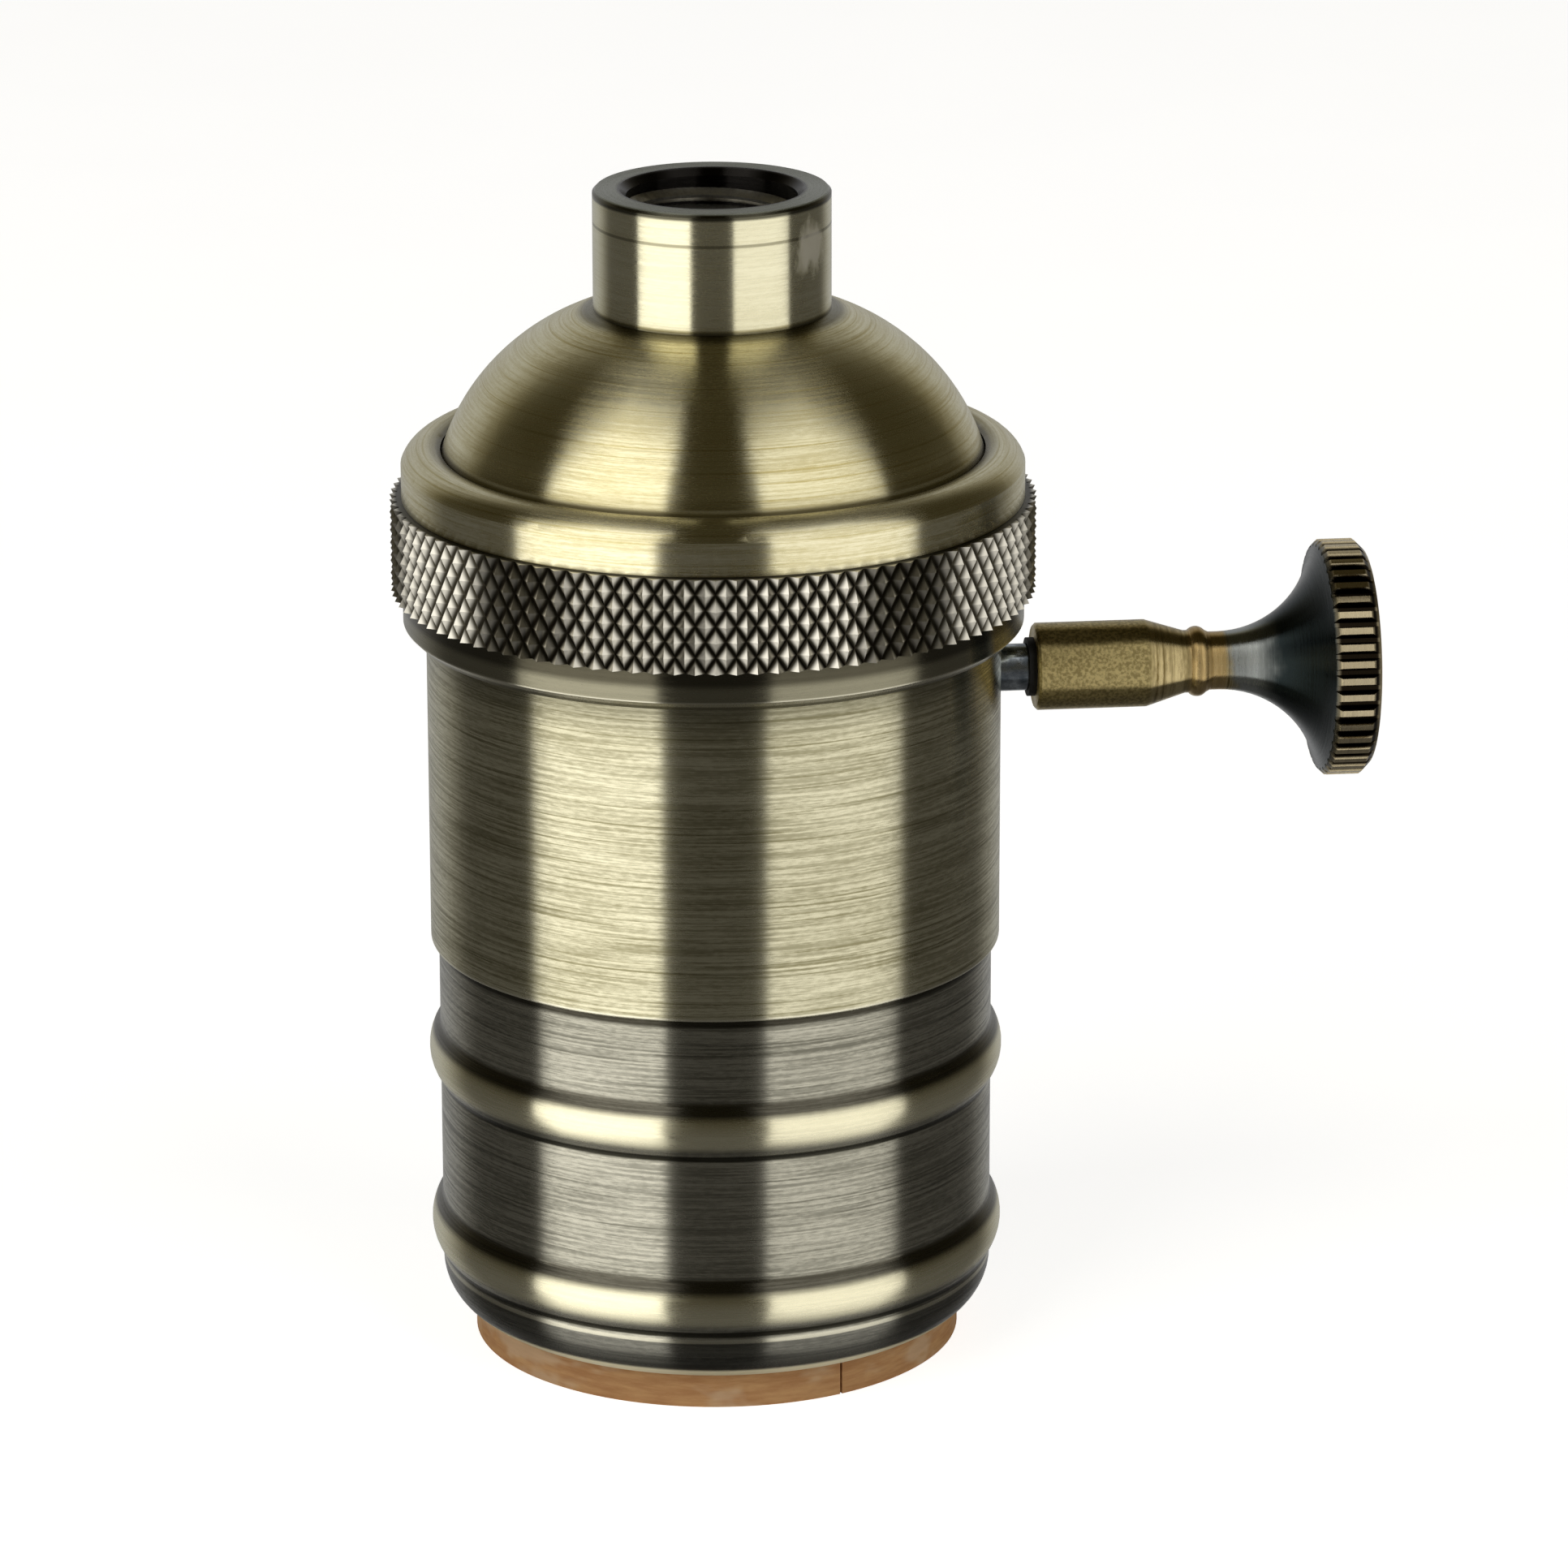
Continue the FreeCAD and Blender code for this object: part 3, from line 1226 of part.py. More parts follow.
def check_and_write(pieces):
    """Stops on any failed object or bad shape, then writes one STEP file for each piece."""
    doc.recompute()
    for item in doc.Objects:
        if "Invalid" in item.State or "Error" in item.State:
            raise RuntimeError(f"{item.Label} failed: {item.State}")
    for piece in pieces:
        if piece.Shape.isNull() or not piece.Shape.isValid() or piece.Shape.Volume <= 0:
            raise RuntimeError(f"{piece.Label} has no valid shape")
    os.makedirs("parts", exist_ok=True)
    for piece in pieces:
        piece.Shape.exportStep(f"parts/{piece.Label}.step")


check_and_write(make_pieces())
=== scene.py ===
"""Dresses the lamp holder: finishes, the cord inlet's thread, a plain studio and one camera."""

import json
import math

import bpy
from mathutils import Matrix, Vector


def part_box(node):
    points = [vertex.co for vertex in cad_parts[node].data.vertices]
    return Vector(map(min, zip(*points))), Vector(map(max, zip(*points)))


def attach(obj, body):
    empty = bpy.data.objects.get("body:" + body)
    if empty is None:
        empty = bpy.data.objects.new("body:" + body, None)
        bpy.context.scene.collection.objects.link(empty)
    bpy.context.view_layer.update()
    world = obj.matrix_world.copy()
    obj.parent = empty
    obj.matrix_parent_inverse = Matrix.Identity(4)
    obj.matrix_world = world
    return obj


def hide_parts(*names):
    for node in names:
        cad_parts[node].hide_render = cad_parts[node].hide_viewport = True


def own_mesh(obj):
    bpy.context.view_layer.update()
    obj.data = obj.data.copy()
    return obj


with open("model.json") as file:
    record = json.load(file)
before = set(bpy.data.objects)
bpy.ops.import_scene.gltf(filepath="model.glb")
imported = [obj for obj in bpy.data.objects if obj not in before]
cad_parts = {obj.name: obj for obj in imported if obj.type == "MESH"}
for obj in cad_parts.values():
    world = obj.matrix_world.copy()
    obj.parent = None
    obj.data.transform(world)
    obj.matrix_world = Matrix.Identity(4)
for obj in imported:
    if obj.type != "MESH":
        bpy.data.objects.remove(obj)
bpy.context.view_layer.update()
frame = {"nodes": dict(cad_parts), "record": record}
MM = 0.001


# ---- places read from the frame -----------------------------------------------------------

RING_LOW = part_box("knurled_ring")[0][2]
KNURL_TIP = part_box("knurled_ring")[1][1]
NECK_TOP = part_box("dome_cap")[1][2]
UPPER_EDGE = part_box("upper_shell")[0][2]
LOWER_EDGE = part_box("lower_shell")[0][2]
KNOB_LOW, KNOB_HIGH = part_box("turn_knob")
KNOB_HEIGHT = (KNOB_LOW[2] + KNOB_HIGH[2]) / 2
KNOB_START, KNOB_END = KNOB_LOW[0], KNOB_HIGH[0]

# Heights and radii of the forms that carry dirt, wear, painted shade and painted highlights
KNURL_LOW, KNURL_HIGH = RING_LOW + 2.4 * MM, RING_LOW + 7.95 * MM
KNURL_VALLEY = KNURL_TIP - 0.45 * MM
SEAT_HEIGHT, SEAT_RADIUS = RING_LOW + 10.8 * MM, 15.99 * MM
LOW_BEAD, HIGH_BEAD = 6.95 * MM, 17.9 * MM
WALL_RADIUS, BEAD_RADIUS = 16.5 * MM, 17.15 * MM
NECK_FOOT = NECK_TOP - 7.1 * MM
BORE_RADIUS = 5.42 * MM
SCRATCH_HEIGHT = NECK_TOP - 1.9 * MM
# Centre of the painted highlight spill on the neck.
HIGHLIGHT_SPILL_CENTRE = Vector((5.4 * MM, -4.4 * MM, NECK_TOP - 2.6 * MM))

# Places along the knob, and the radius at the foot of its teeth
SLEEVE_END = KNOB_START + 6.4 * MM
WAIST_START = KNOB_START + 9.3 * MM
FLARE_START = KNOB_START + 11.2 * MM
WHEEL_START = KNOB_END - 2.8 * MM
TOOTH_ROOT = (KNOB_HIGH[2] - KNOB_LOW[2]) / 2 - 0.42 * MM


# ---- node helpers -------------------------------------------------------------------------


class Tree:
    """Adds shader nodes to one material or world, with their inputs set or linked."""

    def __init__(self, owner):
        owner.use_nodes = True
        self.nodes = owner.node_tree.nodes
        self.links = owner.node_tree.links
        self.nodes.clear()

    def add(self, kind, inputs=None, output=0, **settings):
        """A node; inputs maps a socket's name or number to a value or to another socket."""
        node = self.nodes.new(kind)
        for name, setting in settings.items():
            setattr(node, name, setting)
        for key, source in (inputs or {}).items():
            if isinstance(source, bpy.types.NodeSocket):
                self.links.new(source, node.inputs[key])
            else:
                node.inputs[key].default_value = source
        return node.outputs[output]

    def math(self, operation, first, second=0.0, clamp=False):
        """One arithmetic step."""
        inputs = {0: first, 1: second}
        return self.add("ShaderNodeMath", inputs, operation=operation, use_clamp=clamp)

    def plus(self, first, second, clamp=False):
        """The sum of two values."""
        return self.math("ADD", first, second, clamp)

    def times(self, first, second):
        """The product of two values."""
        return self.math("MULTIPLY", first, second)

    def ramp(self, source, low, high, start=0.0, end=1.0):
        """Maps low..high to start..end, smoothly, held at both ends."""
        inputs = {0: source, 1: low, 2: high, 3: start, 4: end}
        return self.add("ShaderNodeMapRange", inputs, interpolation_type="SMOOTHSTEP")

    def rise(self, source, low, width, amount=1.0):
        """Rises from nought at low to the amount, over a width."""
        return self.ramp(source, low, low + width, 0.0, amount)

    def fall(self, source, low, width, amount=1.0):
        """Falls from the amount at low to nought, over a width."""
        return self.ramp(source, low, low + width, amount, 0.0)

    def window(self, source, low, high, soft, amount=1.0):
        """The amount between low and high, falling to nought over a soft edge outside them."""
        rising = self.rise(source, low - soft, soft)
        return self.times(rising, self.fall(source, high, soft, amount))

    def blend(self, factor, first, second):
        """Mixes two colours."""
        inputs = {0: factor, 6: first, 7: second}
        return self.add("ShaderNodeMix", inputs, output=2, data_type="RGBA")

    def vary(self, factor, first, second):
        """Mixes two values."""
        return self.add("ShaderNodeMix", {0: factor, 2: first, 3: second})

    def place(self):
        """The point's place in the object's frame, in metres."""
        return self.add("ShaderNodeTexCoord", output=3)

    def axes(self):
        """The three coordinates of that place."""
        split = self.nodes.new("ShaderNodeSeparateXYZ")
        self.links.new(self.place(), split.inputs[0])
        return split.outputs

    def radius(self, axis):
        """Distance from the Z axis, or from the knob's axis with X."""
        first, second, height = self.axes()
        if axis == "X":
            first = self.math("SUBTRACT", height, KNOB_HEIGHT)
        squares = self.plus(self.times(first, first), self.times(second, second))
        return self.math("SQRT", squares)

    def noise(self, scale, detail=3.0, roughness=0.55, offset=0.0, axis=None):
        """Noise with its own scale along each axis, in waves per metre; with an axis, its lines
        run round that axis on end faces too."""
        place = self.place()
        if axis:
            outward = self.times(self.radius(axis), 1.0 if axis == "X" else -1.0)
            along = self.add("ShaderNodeCombineXYZ", {axis: outward})
            place = self.add("ShaderNodeVectorMath", {0: place, 1: along})
        shift = (offset, offset * 0.7, offset * 1.3)
        mapped = self.add("ShaderNodeMapping", {0: place, 1: shift, 3: scale})
        inputs = {"Vector": mapped, "Scale": 1.0, "Detail": detail, "Roughness": roughness}
        return self.add("ShaderNodeTexNoise", inputs)

    def even_noise(self, waves, detail=3.0, roughness=0.55):
        """Noise with one scale for all three axes."""
        return self.noise((waves, waves, waves), detail, roughness)

    def finish(self, surface, kind="ShaderNodeOutputMaterial"):
        """Links the surface to the tree's output."""
        self.links.new(surface, self.nodes.new(kind).inputs["Surface"])


def rgba(red, green, blue):
    """A colour from its 0 to 255 screen values."""
    channels = []
    for level in (red, green, blue):
        level /= 255
        channels.append(level / 12.92 if level <= 0.04045 else ((level + 0.055) / 1.055) ** 2.4)
    return (*channels, 1.0)


# ---- brushed metal ------------------------------------------------------------------------

# The lines that a lathe leaves: their length round the axis and their width across
LINE_LENGTH, LINE_WIDTH = 7 * MM, 0.16 * MM
LINE_RELIEF = 0.02 * MM


def line_scale(axis, length, width):
    """Noise scale of fine lines that run round an axis, from their length and width."""
    around, across = 1 / length, 1 / width
    return (across, around, around) if axis == "X" else (around, around, across)


def brushed(name, tone, shade, rough, spread, dress, axis):
    """Metal with fine lines round its axis; dress adds the dirt, wear, painted shade and
    painted highlights of its own forms.
    """
    material = bpy.data.materials.new(name)
    tree = Tree(material)
    long_lines = line_scale(axis, LINE_LENGTH, LINE_WIDTH)
    short_lines = line_scale(axis, LINE_LENGTH / 14, LINE_WIDTH * 0.7)
    hair_lines = line_scale(axis, LINE_LENGTH * 4, LINE_WIDTH * 1.1)
    streaks = tree.noise(long_lines, detail=3.0, roughness=0.6, axis=axis)
    speckle = tree.noise(short_lines, detail=2.0, roughness=0.5, offset=3.1, axis=axis)
    hairs = tree.noise(hair_lines, detail=2.0, roughness=0.5, offset=5.3, axis=axis)
    blotch = tree.noise((110, 110, 330), detail=3.0, roughness=0.6, offset=7.7)
    lines = tree.plus(tree.times(streaks, 0.7), tree.times(speckle, 0.3))
    lift = tree.ramp(lines, 0.36, 0.64, 0.6 - spread, 0.6 + spread)
    lift = tree.plus(lift, tree.ramp(blotch, 0.3, 0.7, -0.12, 0.12))
    lift = tree.plus(lift, tree.ramp(hairs, 0.56, 0.68, 0.0, -0.5), clamp=True)
    surface = {
        "Base Color": tree.blend(lift, shade, tone),
        "Metallic": 1.0,
        "Roughness": tree.ramp(lines, 0.35, 0.68, rough + 0.04, rough - 0.04),
    }
    dress(tree, surface)
    bump = {"Strength": 0.1, "Distance": LINE_RELIEF, "Height": lines}
    surface["Normal"] = tree.add("ShaderNodeBump", bump)
    surface["Anisotropic"] = 1.0
    surface["Tangent"] = tree.add("ShaderNodeCombineXYZ", {axis: 1.0})
    tree.finish(tree.add("ShaderNodeBsdfPrincipled", surface))
    return material


def stain_and_light(tree, surface, factor, colour, metallic=1.0, rough=None):
    """Blends a colour, and a metal's or a dull coat's response, into a surface's inputs; the
    colour is a stain or wear in some places and painted light or shade in others.
    """
    surface["Base Color"] = tree.blend(factor, surface["Base Color"], colour)
    if metallic < 1.0:
        surface["Metallic"] = tree.vary(factor, surface["Metallic"], metallic)
    if rough is not None:
        surface["Roughness"] = tree.vary(factor, surface["Roughness"], rough)


# ---- dirt, wear, painted shade and painted highlights of each metal piece -----------------

# Oxide, grime and painted shade, from the darkest
SEAT_SHADE = rgba(30, 25, 6)
RING_SEAT_SHADE = rgba(34, 28, 8)
TOOTH_GRIME = rgba(34, 28, 20)
BORE_DARK = rgba(44, 42, 40)
BEAD_GRIME_AND_SHADE = rgba(44, 42, 32)
EDGE_SHADOW = rgba(44, 40, 30)
FLARE_OXIDE = rgba(44, 52, 54)
FOOT_GRIME = rgba(48, 42, 18)
LIP_OXIDE = rgba(58, 56, 46)
KNURL_DIRT = rgba(58, 54, 44)
KNURL_SHADOW = rgba(62, 58, 46)
CREASE_SHADE = rgba(66, 62, 52)
CURL_SHADE = rgba(70, 70, 68)

# Aged brass, painted shade and a painted glint, between dark and bright
AGED_SHADED_SHELL = rgba(96, 92, 72)
SCRATCH = rgba(96, 90, 62)
RING_SHADE = rgba(104, 94, 50)
DOME_SHADE = rgba(120, 106, 52)
GRAIN_DARK = rgba(128, 112, 70)
LIP_LAND = rgba(138, 142, 130)
RING_LAND = rgba(140, 136, 116)
PAINTED_FLARE_GLINT = rgba(168, 172, 170)
WAIST_BRASS = rgba(200, 168, 112)
GRAIN_LIGHT = rgba(206, 188, 132)

# Bright edges, crests and patches: some worn, some painted highlights and painted light
HIGHLIGHT_SPILL_GREY = rgba(212, 208, 196)
CURL_LINE = rgba(214, 210, 190)
TOOTH_TIP = rgba(224, 210, 178)
LAND_EDGE_HIGHLIGHT = rgba(224, 220, 200)
NECK_BRASS = rgba(232, 228, 200)
KNURL_CREST = rgba(232, 228, 216)
SHELL_EDGE_HIGHLIGHT = rgba(236, 232, 210)
MOUTH_LIGHT = rgba(246, 238, 206)
POLISHED_CREST_HIGHLIGHT = rgba(246, 240, 208)


def dress_neck(tree, surface, height):
    """A brighter neck with a fine scratch round it, a pale painted highlight spill and grime at
    its foot.
    """
    neck = tree.rise(height, NECK_FOOT, 0.4 * MM, 0.8)
    stain_and_light(tree, surface, neck, NECK_BRASS)
    half = 0.05 * MM
    scratch = tree.window(height, SCRATCH_HEIGHT - half, SCRATCH_HEIGHT + half, 0.08 * MM, 0.6)
    stain_and_light(tree, surface, scratch, SCRATCH)
    # A pale painted highlight spill on the neck's right, made dull so that it catches the
    # light.
    ends = {0: tree.place(), 1: HIGHLIGHT_SPILL_CENTRE}
    away = tree.add("ShaderNodeVectorMath", ends, output=1, operation="DISTANCE")
    ragged = tree.noise((900, 900, 420), detail=3.0, roughness=0.7, offset=2.2)
    ragged = tree.times(ragged, 2.6 * MM)
    highlight_spill = tree.fall(tree.plus(away, ragged), 2.0 * MM, 1.1 * MM, 0.8)
    stain_and_light(tree, surface, highlight_spill, HIGHLIGHT_SPILL_GREY, 0.3, 0.5)
    foot = tree.window(height, NECK_FOOT - 0.1 * MM, NECK_FOOT + 0.05 * MM, 0.3 * MM, 0.8)
    stain_and_light(tree, surface, foot, FOOT_GRIME)


def dress_cap(tree, surface):
    """The neck's wear and a painted highlight spill, painted shade where the dome meets the
    ring, oxide on the lip and a darker bore.
    """
    height = tree.axes()[2]
    dress_neck(tree, surface, height)
    # Painted shade in the joint where the dome sits in the ring.
    seat = tree.fall(height, SEAT_HEIGHT + 0.1 * MM, 0.35 * MM, 0.95)
    stain_and_light(tree, surface, seat, SEAT_SHADE, 0.5)
    # Painted shade on the dome just above the ring.
    shaded = tree.fall(height, SEAT_HEIGHT + 0.3 * MM, 1.0 * MM, 0.35)
    stain_and_light(tree, surface, shaded, DOME_SHADE)
    lip = tree.rise(height, NECK_TOP - 0.5 * MM, 0.2 * MM, 0.9)
    stain_and_light(tree, surface, lip, LIP_OXIDE)
    land = tree.rise(height, NECK_TOP - 0.1 * MM, 0.08 * MM, 0.8)
    stain_and_light(tree, surface, land, LIP_LAND, 0.3)
    # Darker inside the bore.
    inside = tree.fall(tree.radius("Z"), BORE_RADIUS, 0.25 * MM)
    stain_and_light(tree, surface, inside, BORE_DARK)


def dress_ring(tree, surface):
    """Dark valleys and worn tips on the knurl, a land of old brass under it with painted shadow
    from the knurl and a painted highlight near its lower edge, and painted shade by the dome.
    """
    radius = tree.radius("Z")
    height = tree.axes()[2]
    # Painted shade where the ring meets the dome.
    seat = tree.fall(radius, SEAT_RADIUS + 0.1 * MM, 0.3 * MM, 0.95)
    stain_and_light(tree, surface, seat, RING_SEAT_SHADE, 0.6)
    # Painted shade on the ring's inner top next to the dome.
    shaded = tree.fall(radius, SEAT_RADIUS + 0.3 * MM, 0.7 * MM, 0.7)
    stain_and_light(tree, surface, shaded, RING_SHADE)
    land = tree.fall(height, KNURL_LOW - 0.05 * MM, 0.05 * MM)
    stain_and_light(tree, surface, land, RING_LAND)
    # Painted shadow of the knurl on the land just under it.
    under = tree.window(height, KNURL_LOW - 0.7 * MM, KNURL_LOW, 0.5 * MM, 0.8)
    stain_and_light(tree, surface, under, KNURL_SHADOW)
    # A painted highlight on a thin line near the ring's lower edge.
    edge = tree.window(height, RING_LOW + 0.3 * MM, RING_LOW + 0.5 * MM, 0.12 * MM, 0.8)
    stain_and_light(tree, surface, edge, LAND_EDGE_HIGHLIGHT)
    depth = tree.ramp(radius, KNURL_VALLEY + 0.05 * MM, KNURL_TIP - 0.14 * MM, 1.0, 0.0)
    flanks = tree.blend(depth, KNURL_CREST, KNURL_DIRT)
    knurl = tree.window(height, KNURL_LOW, KNURL_HIGH, 0.08 * MM)
    stain_and_light(tree, surface, knurl, flanks, rough=0.34)


def dress_upper(tree, surface):
    """A painted highlight on the lower edge, and a darker stretch under the ring, partly older
    brass and partly painted shade from the ring.
    """
    height = tree.axes()[2]
    # A painted highlight on the upper shell's lower edge.
    edge = tree.fall(height, UPPER_EDGE + 0.1 * MM, 0.16 * MM, 0.9)
    stain_and_light(tree, surface, edge, SHELL_EDGE_HIGHLIGHT)
    # Darker under the ring: partly older brass, partly painted shade from the ring and knurl.
    aged_and_shaded = tree.rise(height, RING_LOW - 2.6 * MM, 2.6 * MM, 0.6)
    stain_and_light(tree, surface, aged_and_shaded, AGED_SHADED_SHELL)


def dress_lower(tree, surface):
    """Polished beads with painted highlights on their crests, painted shade in the creases
    above them and grime and painted shade below, painted shade on the curl with a worn line, a
    painted light on the mouth, and painted shadow under the upper shell's edge."""
    height = tree.axes()[2]
    for bead in (LOW_BEAD, HIGH_BEAD):
        above = tree.window(height, bead + 1.1 * MM, bead + 1.6 * MM, 0.45 * MM, 0.8)
        stain_and_light(tree, surface, above, CREASE_SHADE)
        # Under each bead: grime and painted shade in the crease.
        below = tree.window(height, bead - 1.75 * MM, bead - 1.5 * MM, 0.14 * MM, 0.9)
        stain_and_light(tree, surface, below, BEAD_GRIME_AND_SHADE)
    # Painted shade on the curl, which turns in below the low bead.
    curl = tree.fall(height, LOW_BEAD - 2.2 * MM, 0.3 * MM, 0.7)
    stain_and_light(tree, surface, curl, CURL_SHADE)
    worn = tree.window(height, LOW_BEAD - 2.15 * MM, LOW_BEAD - 2.0 * MM, 0.1 * MM, 0.8)
    stain_and_light(tree, surface, worn, CURL_LINE)
    # Painted light from below on the mouth, with a dull coat that catches it.
    mouth = tree.fall(height, LOWER_EDGE + 0.45 * MM, 0.3 * MM, 0.95)
    stain_and_light(tree, surface, mouth, MOUTH_LIGHT, 0.1, 0.5)
    # Polished bead crests, brightened further as a painted highlight.
    crest_low, crest_high = WALL_RADIUS + 0.32 * MM, BEAD_RADIUS - 0.06 * MM
    crest = tree.ramp(tree.radius("Z"), crest_low, crest_high, 0.0, 0.95)
    stain_and_light(tree, surface, crest, POLISHED_CREST_HIGHLIGHT)
    # Painted shadow under the upper shell's edge.
    under = tree.rise(height, UPPER_EDGE - 0.75 * MM, 0.4 * MM, 0.9)
    stain_and_light(tree, surface, under, EDGE_SHADOW)


def dress_knob(tree, surface):
    """Blue-black oxide in the flare and the tooth gaps, a painted glint where the flare starts,
    and a grainy sleeve.
    """
    along = tree.axes()[0]
    ragged = tree.times(tree.math("SUBTRACT", tree.even_noise(420), 0.5), 2.2 * MM)
    reach = tree.plus(along, ragged)
    before_wheel = tree.fall(along, WHEEL_START, 0.4 * MM)
    on_wheel = tree.rise(along, WHEEL_START, 0.4 * MM)
    # A painted glint where the flare starts.
    painted_glint = tree.times(tree.rise(reach, FLARE_START, 0.7 * MM), before_wheel)
    stain_and_light(tree, surface, painted_glint, PAINTED_FLARE_GLINT)
    deep = tree.times(tree.rise(reach, FLARE_START + 1.2 * MM, 2.2 * MM), before_wheel)
    stain_and_light(tree, surface, deep, FLARE_OXIDE)
    waist = tree.window(along, WAIST_START, FLARE_START, 0.3 * MM, 0.6)
    stain_and_light(tree, surface, waist, WAIST_BRASS)
    stain_and_light(tree, surface, tree.times(on_wheel, 0.7), TOOTH_TIP)
    gaps = tree.fall(tree.radius("X"), TOOTH_ROOT + 0.26 * MM, 0.14 * MM)
    fading = tree.ramp(along, KNOB_END - 0.3 * MM, KNOB_END - 0.05 * MM, 1.0, 0.25)
    gaps = tree.times(tree.times(gaps, on_wheel), fading)
    stain_and_light(tree, surface, gaps, TOOTH_GRIME)
    sleeve = tree.fall(along, SLEEVE_END, 0.5 * MM)
    speckle = tree.ramp(tree.even_noise(5200, detail=2.0), 0.35, 0.65, 0.3, 1.0)
    grainy = tree.blend(speckle, GRAIN_DARK, GRAIN_LIGHT)
    stain_and_light(tree, surface, sleeve, grainy, rough=0.4)


# ---- plain finishes and the list of all ---------------------------------------------------

MOTTLE_WAVES = 900.0
PLAIN_RELIEF = 0.05 * MM
BOARD_DARK, BOARD_LIGHT = rgba(180, 130, 84), rgba(206, 162, 112)
BOARD_WORN = rgba(216, 190, 158)
THREAD_DARK, THREAD_LIGHT = rgba(130, 126, 116), rgba(190, 188, 180)


def plain(name, tone, shade, rough, metallic=0.0):
    """A finish with a fine mottle."""
    material = bpy.data.materials.new(name)
    tree = Tree(material)
    mottle = tree.even_noise(MOTTLE_WAVES, detail=5.0, roughness=0.65)
    bump = {"Strength": 0.1, "Distance": PLAIN_RELIEF, "Height": mottle}
    inputs = {
        "Base Color": tree.blend(tree.ramp(mottle, 0.32, 0.68), shade, tone),
        "Metallic": metallic,
        "Roughness": tree.ramp(mottle, 0.3, 0.7, rough + 0.06, rough - 0.06),
        "Normal": tree.add("ShaderNodeBump", bump),
    }
    tree.finish(tree.add("ShaderNodeBsdfPrincipled", inputs))
    return material


def board(name):
    """Kraft board: a fibrous mottle with pale worn patches."""
    material = bpy.data.materials.new(name)
    tree = Tree(material)
    fibres = tree.noise((380, 380, 2600), detail=5.0, roughness=0.65)
    patches = tree.noise((190, 190, 420), detail=3.0, roughness=0.6, offset=4.4)
    colour = tree.blend(tree.ramp(fibres, 0.25, 0.75), BOARD_DARK, BOARD_LIGHT)
    colour = tree.blend(tree.ramp(patches, 0.5, 0.66, 0.0, 0.55), colour, BOARD_WORN)
    bump = {"Strength": 0.3, "Distance": PLAIN_RELIEF, "Height": fibres}
    inputs = {
        "Base Color": colour,
        "Roughness": 0.85,
        "Normal": tree.add("ShaderNodeBump", bump),
    }
    tree.finish(tree.add("ShaderNodeBsdfPrincipled", inputs))
    return material


def make_finishes():
    """One material for each of the record's slots."""
    # Name, bright tone, dark shade, roughness, contrast of the lines, dirt, wear and painted
    # light, axis
    metals = (
        ("cap_brass", (246, 240, 204), (204, 190, 134), 0.25, 0.25, dress_cap, "Z"),
        ("ring_brass", (244, 238, 206), (204, 192, 140), 0.25, 0.25, dress_ring, "Z"),
        ("shell_brass", (222, 217, 188), (150, 144, 112), 0.27, 0.34, dress_upper, "Z"),
        ("dark_brass", (188, 185, 170), (120, 118, 106), 0.27, 0.34, dress_lower, "Z"),
        ("knob_brass", (206, 188, 140), (122, 104, 60), 0.28, 0.3, dress_knob, "X"),
    )
    # Name, bright tone, dark shade, roughness, metallic
    others = (
        ("moulding", (46, 38, 32), (28, 23, 20), 0.4, 0.0),
        ("contact_brass", (222, 196, 128), (190, 160, 96), 0.3, 1.0),
        ("screw_brass", (222, 196, 128), (190, 160, 96), 0.25, 1.0),
        ("plated_steel", (196, 204, 212), (96, 104, 112), 0.16, 1.0),
        ("spring_steel", (170, 172, 176), (128, 130, 134), 0.3, 1.0),
        ("fibre", (196, 178, 146), (160, 140, 108), 0.7, 0.0),
        ("dark_fibre", (34, 34, 36), (18, 18, 20), 0.6, 0.0),
    )
    finishes = {"liner_board": board("liner_board")}
    for name, tone, shade, *settings in metals:
        finishes[name] = brushed(name, rgba(*tone), rgba(*shade), *settings)
    for name, tone, shade, *settings in others:
        finishes[name] = plain(name, rgba(*tone), rgba(*shade), *settings)
    return finishes


def dress_nodes(finishes):
    """Gives each CAD node the finish of its slot."""
    for part in frame["record"]["subparts"]:
        node = frame["nodes"][part["node"]]
        for slot in node.material_slots:
            slot.material = finishes[part["material_slot"]]


# ---- pieces that only the picture needs ---------------------------------------------------

THREAD_PITCH = 1.0 * MM
THREAD_ROOT, THREAD_CREST = 5.02 * MM, 4.5 * MM
THREAD_LOW, THREAD_HIGH = NECK_TOP - 7.3 * MM, NECK_TOP - 0.35 * MM
STEPS_PER_TURN = 72
FADE_STEPS = 12

# Half heights of the ridge at its root and at its crest, as shares of the pitch
ROOT_RISE, CREST_RISE = 0.44, 0.08


def make_mesh(name, points, faces):
    """A flat-faced mesh object, from points in metres."""
    mesh = bpy.data.meshes.new(name)
    mesh.from_pydata([tuple(point) for point in points], [], faces)
    mesh.validate()
    thing = bpy.data.objects.new(name, mesh)
    bpy.context.collection.objects.link(thing)
    return thing


def ridge_section(step, total):
    """Four points across the thread's ridge at one step; it runs out at both of its ends."""
    angle = 2 * math.pi * step / STEPS_PER_TURN
    middle = THREAD_LOW + THREAD_PITCH / 2 + THREAD_PITCH * step / STEPS_PER_TURN
    fade = min(1.0, step / FADE_STEPS, (total - step) / FADE_STEPS)
    crest = THREAD_ROOT + (THREAD_CREST - THREAD_ROOT) * fade
    corners = (
        (THREAD_ROOT, -ROOT_RISE),
        (crest, -CREST_RISE),
        (crest, CREST_RISE),
        (THREAD_ROOT, ROOT_RISE),
    )
    return [
        (radius * math.cos(angle), radius * math.sin(angle), middle + rise * THREAD_PITCH)
        for radius, rise in corners
    ]


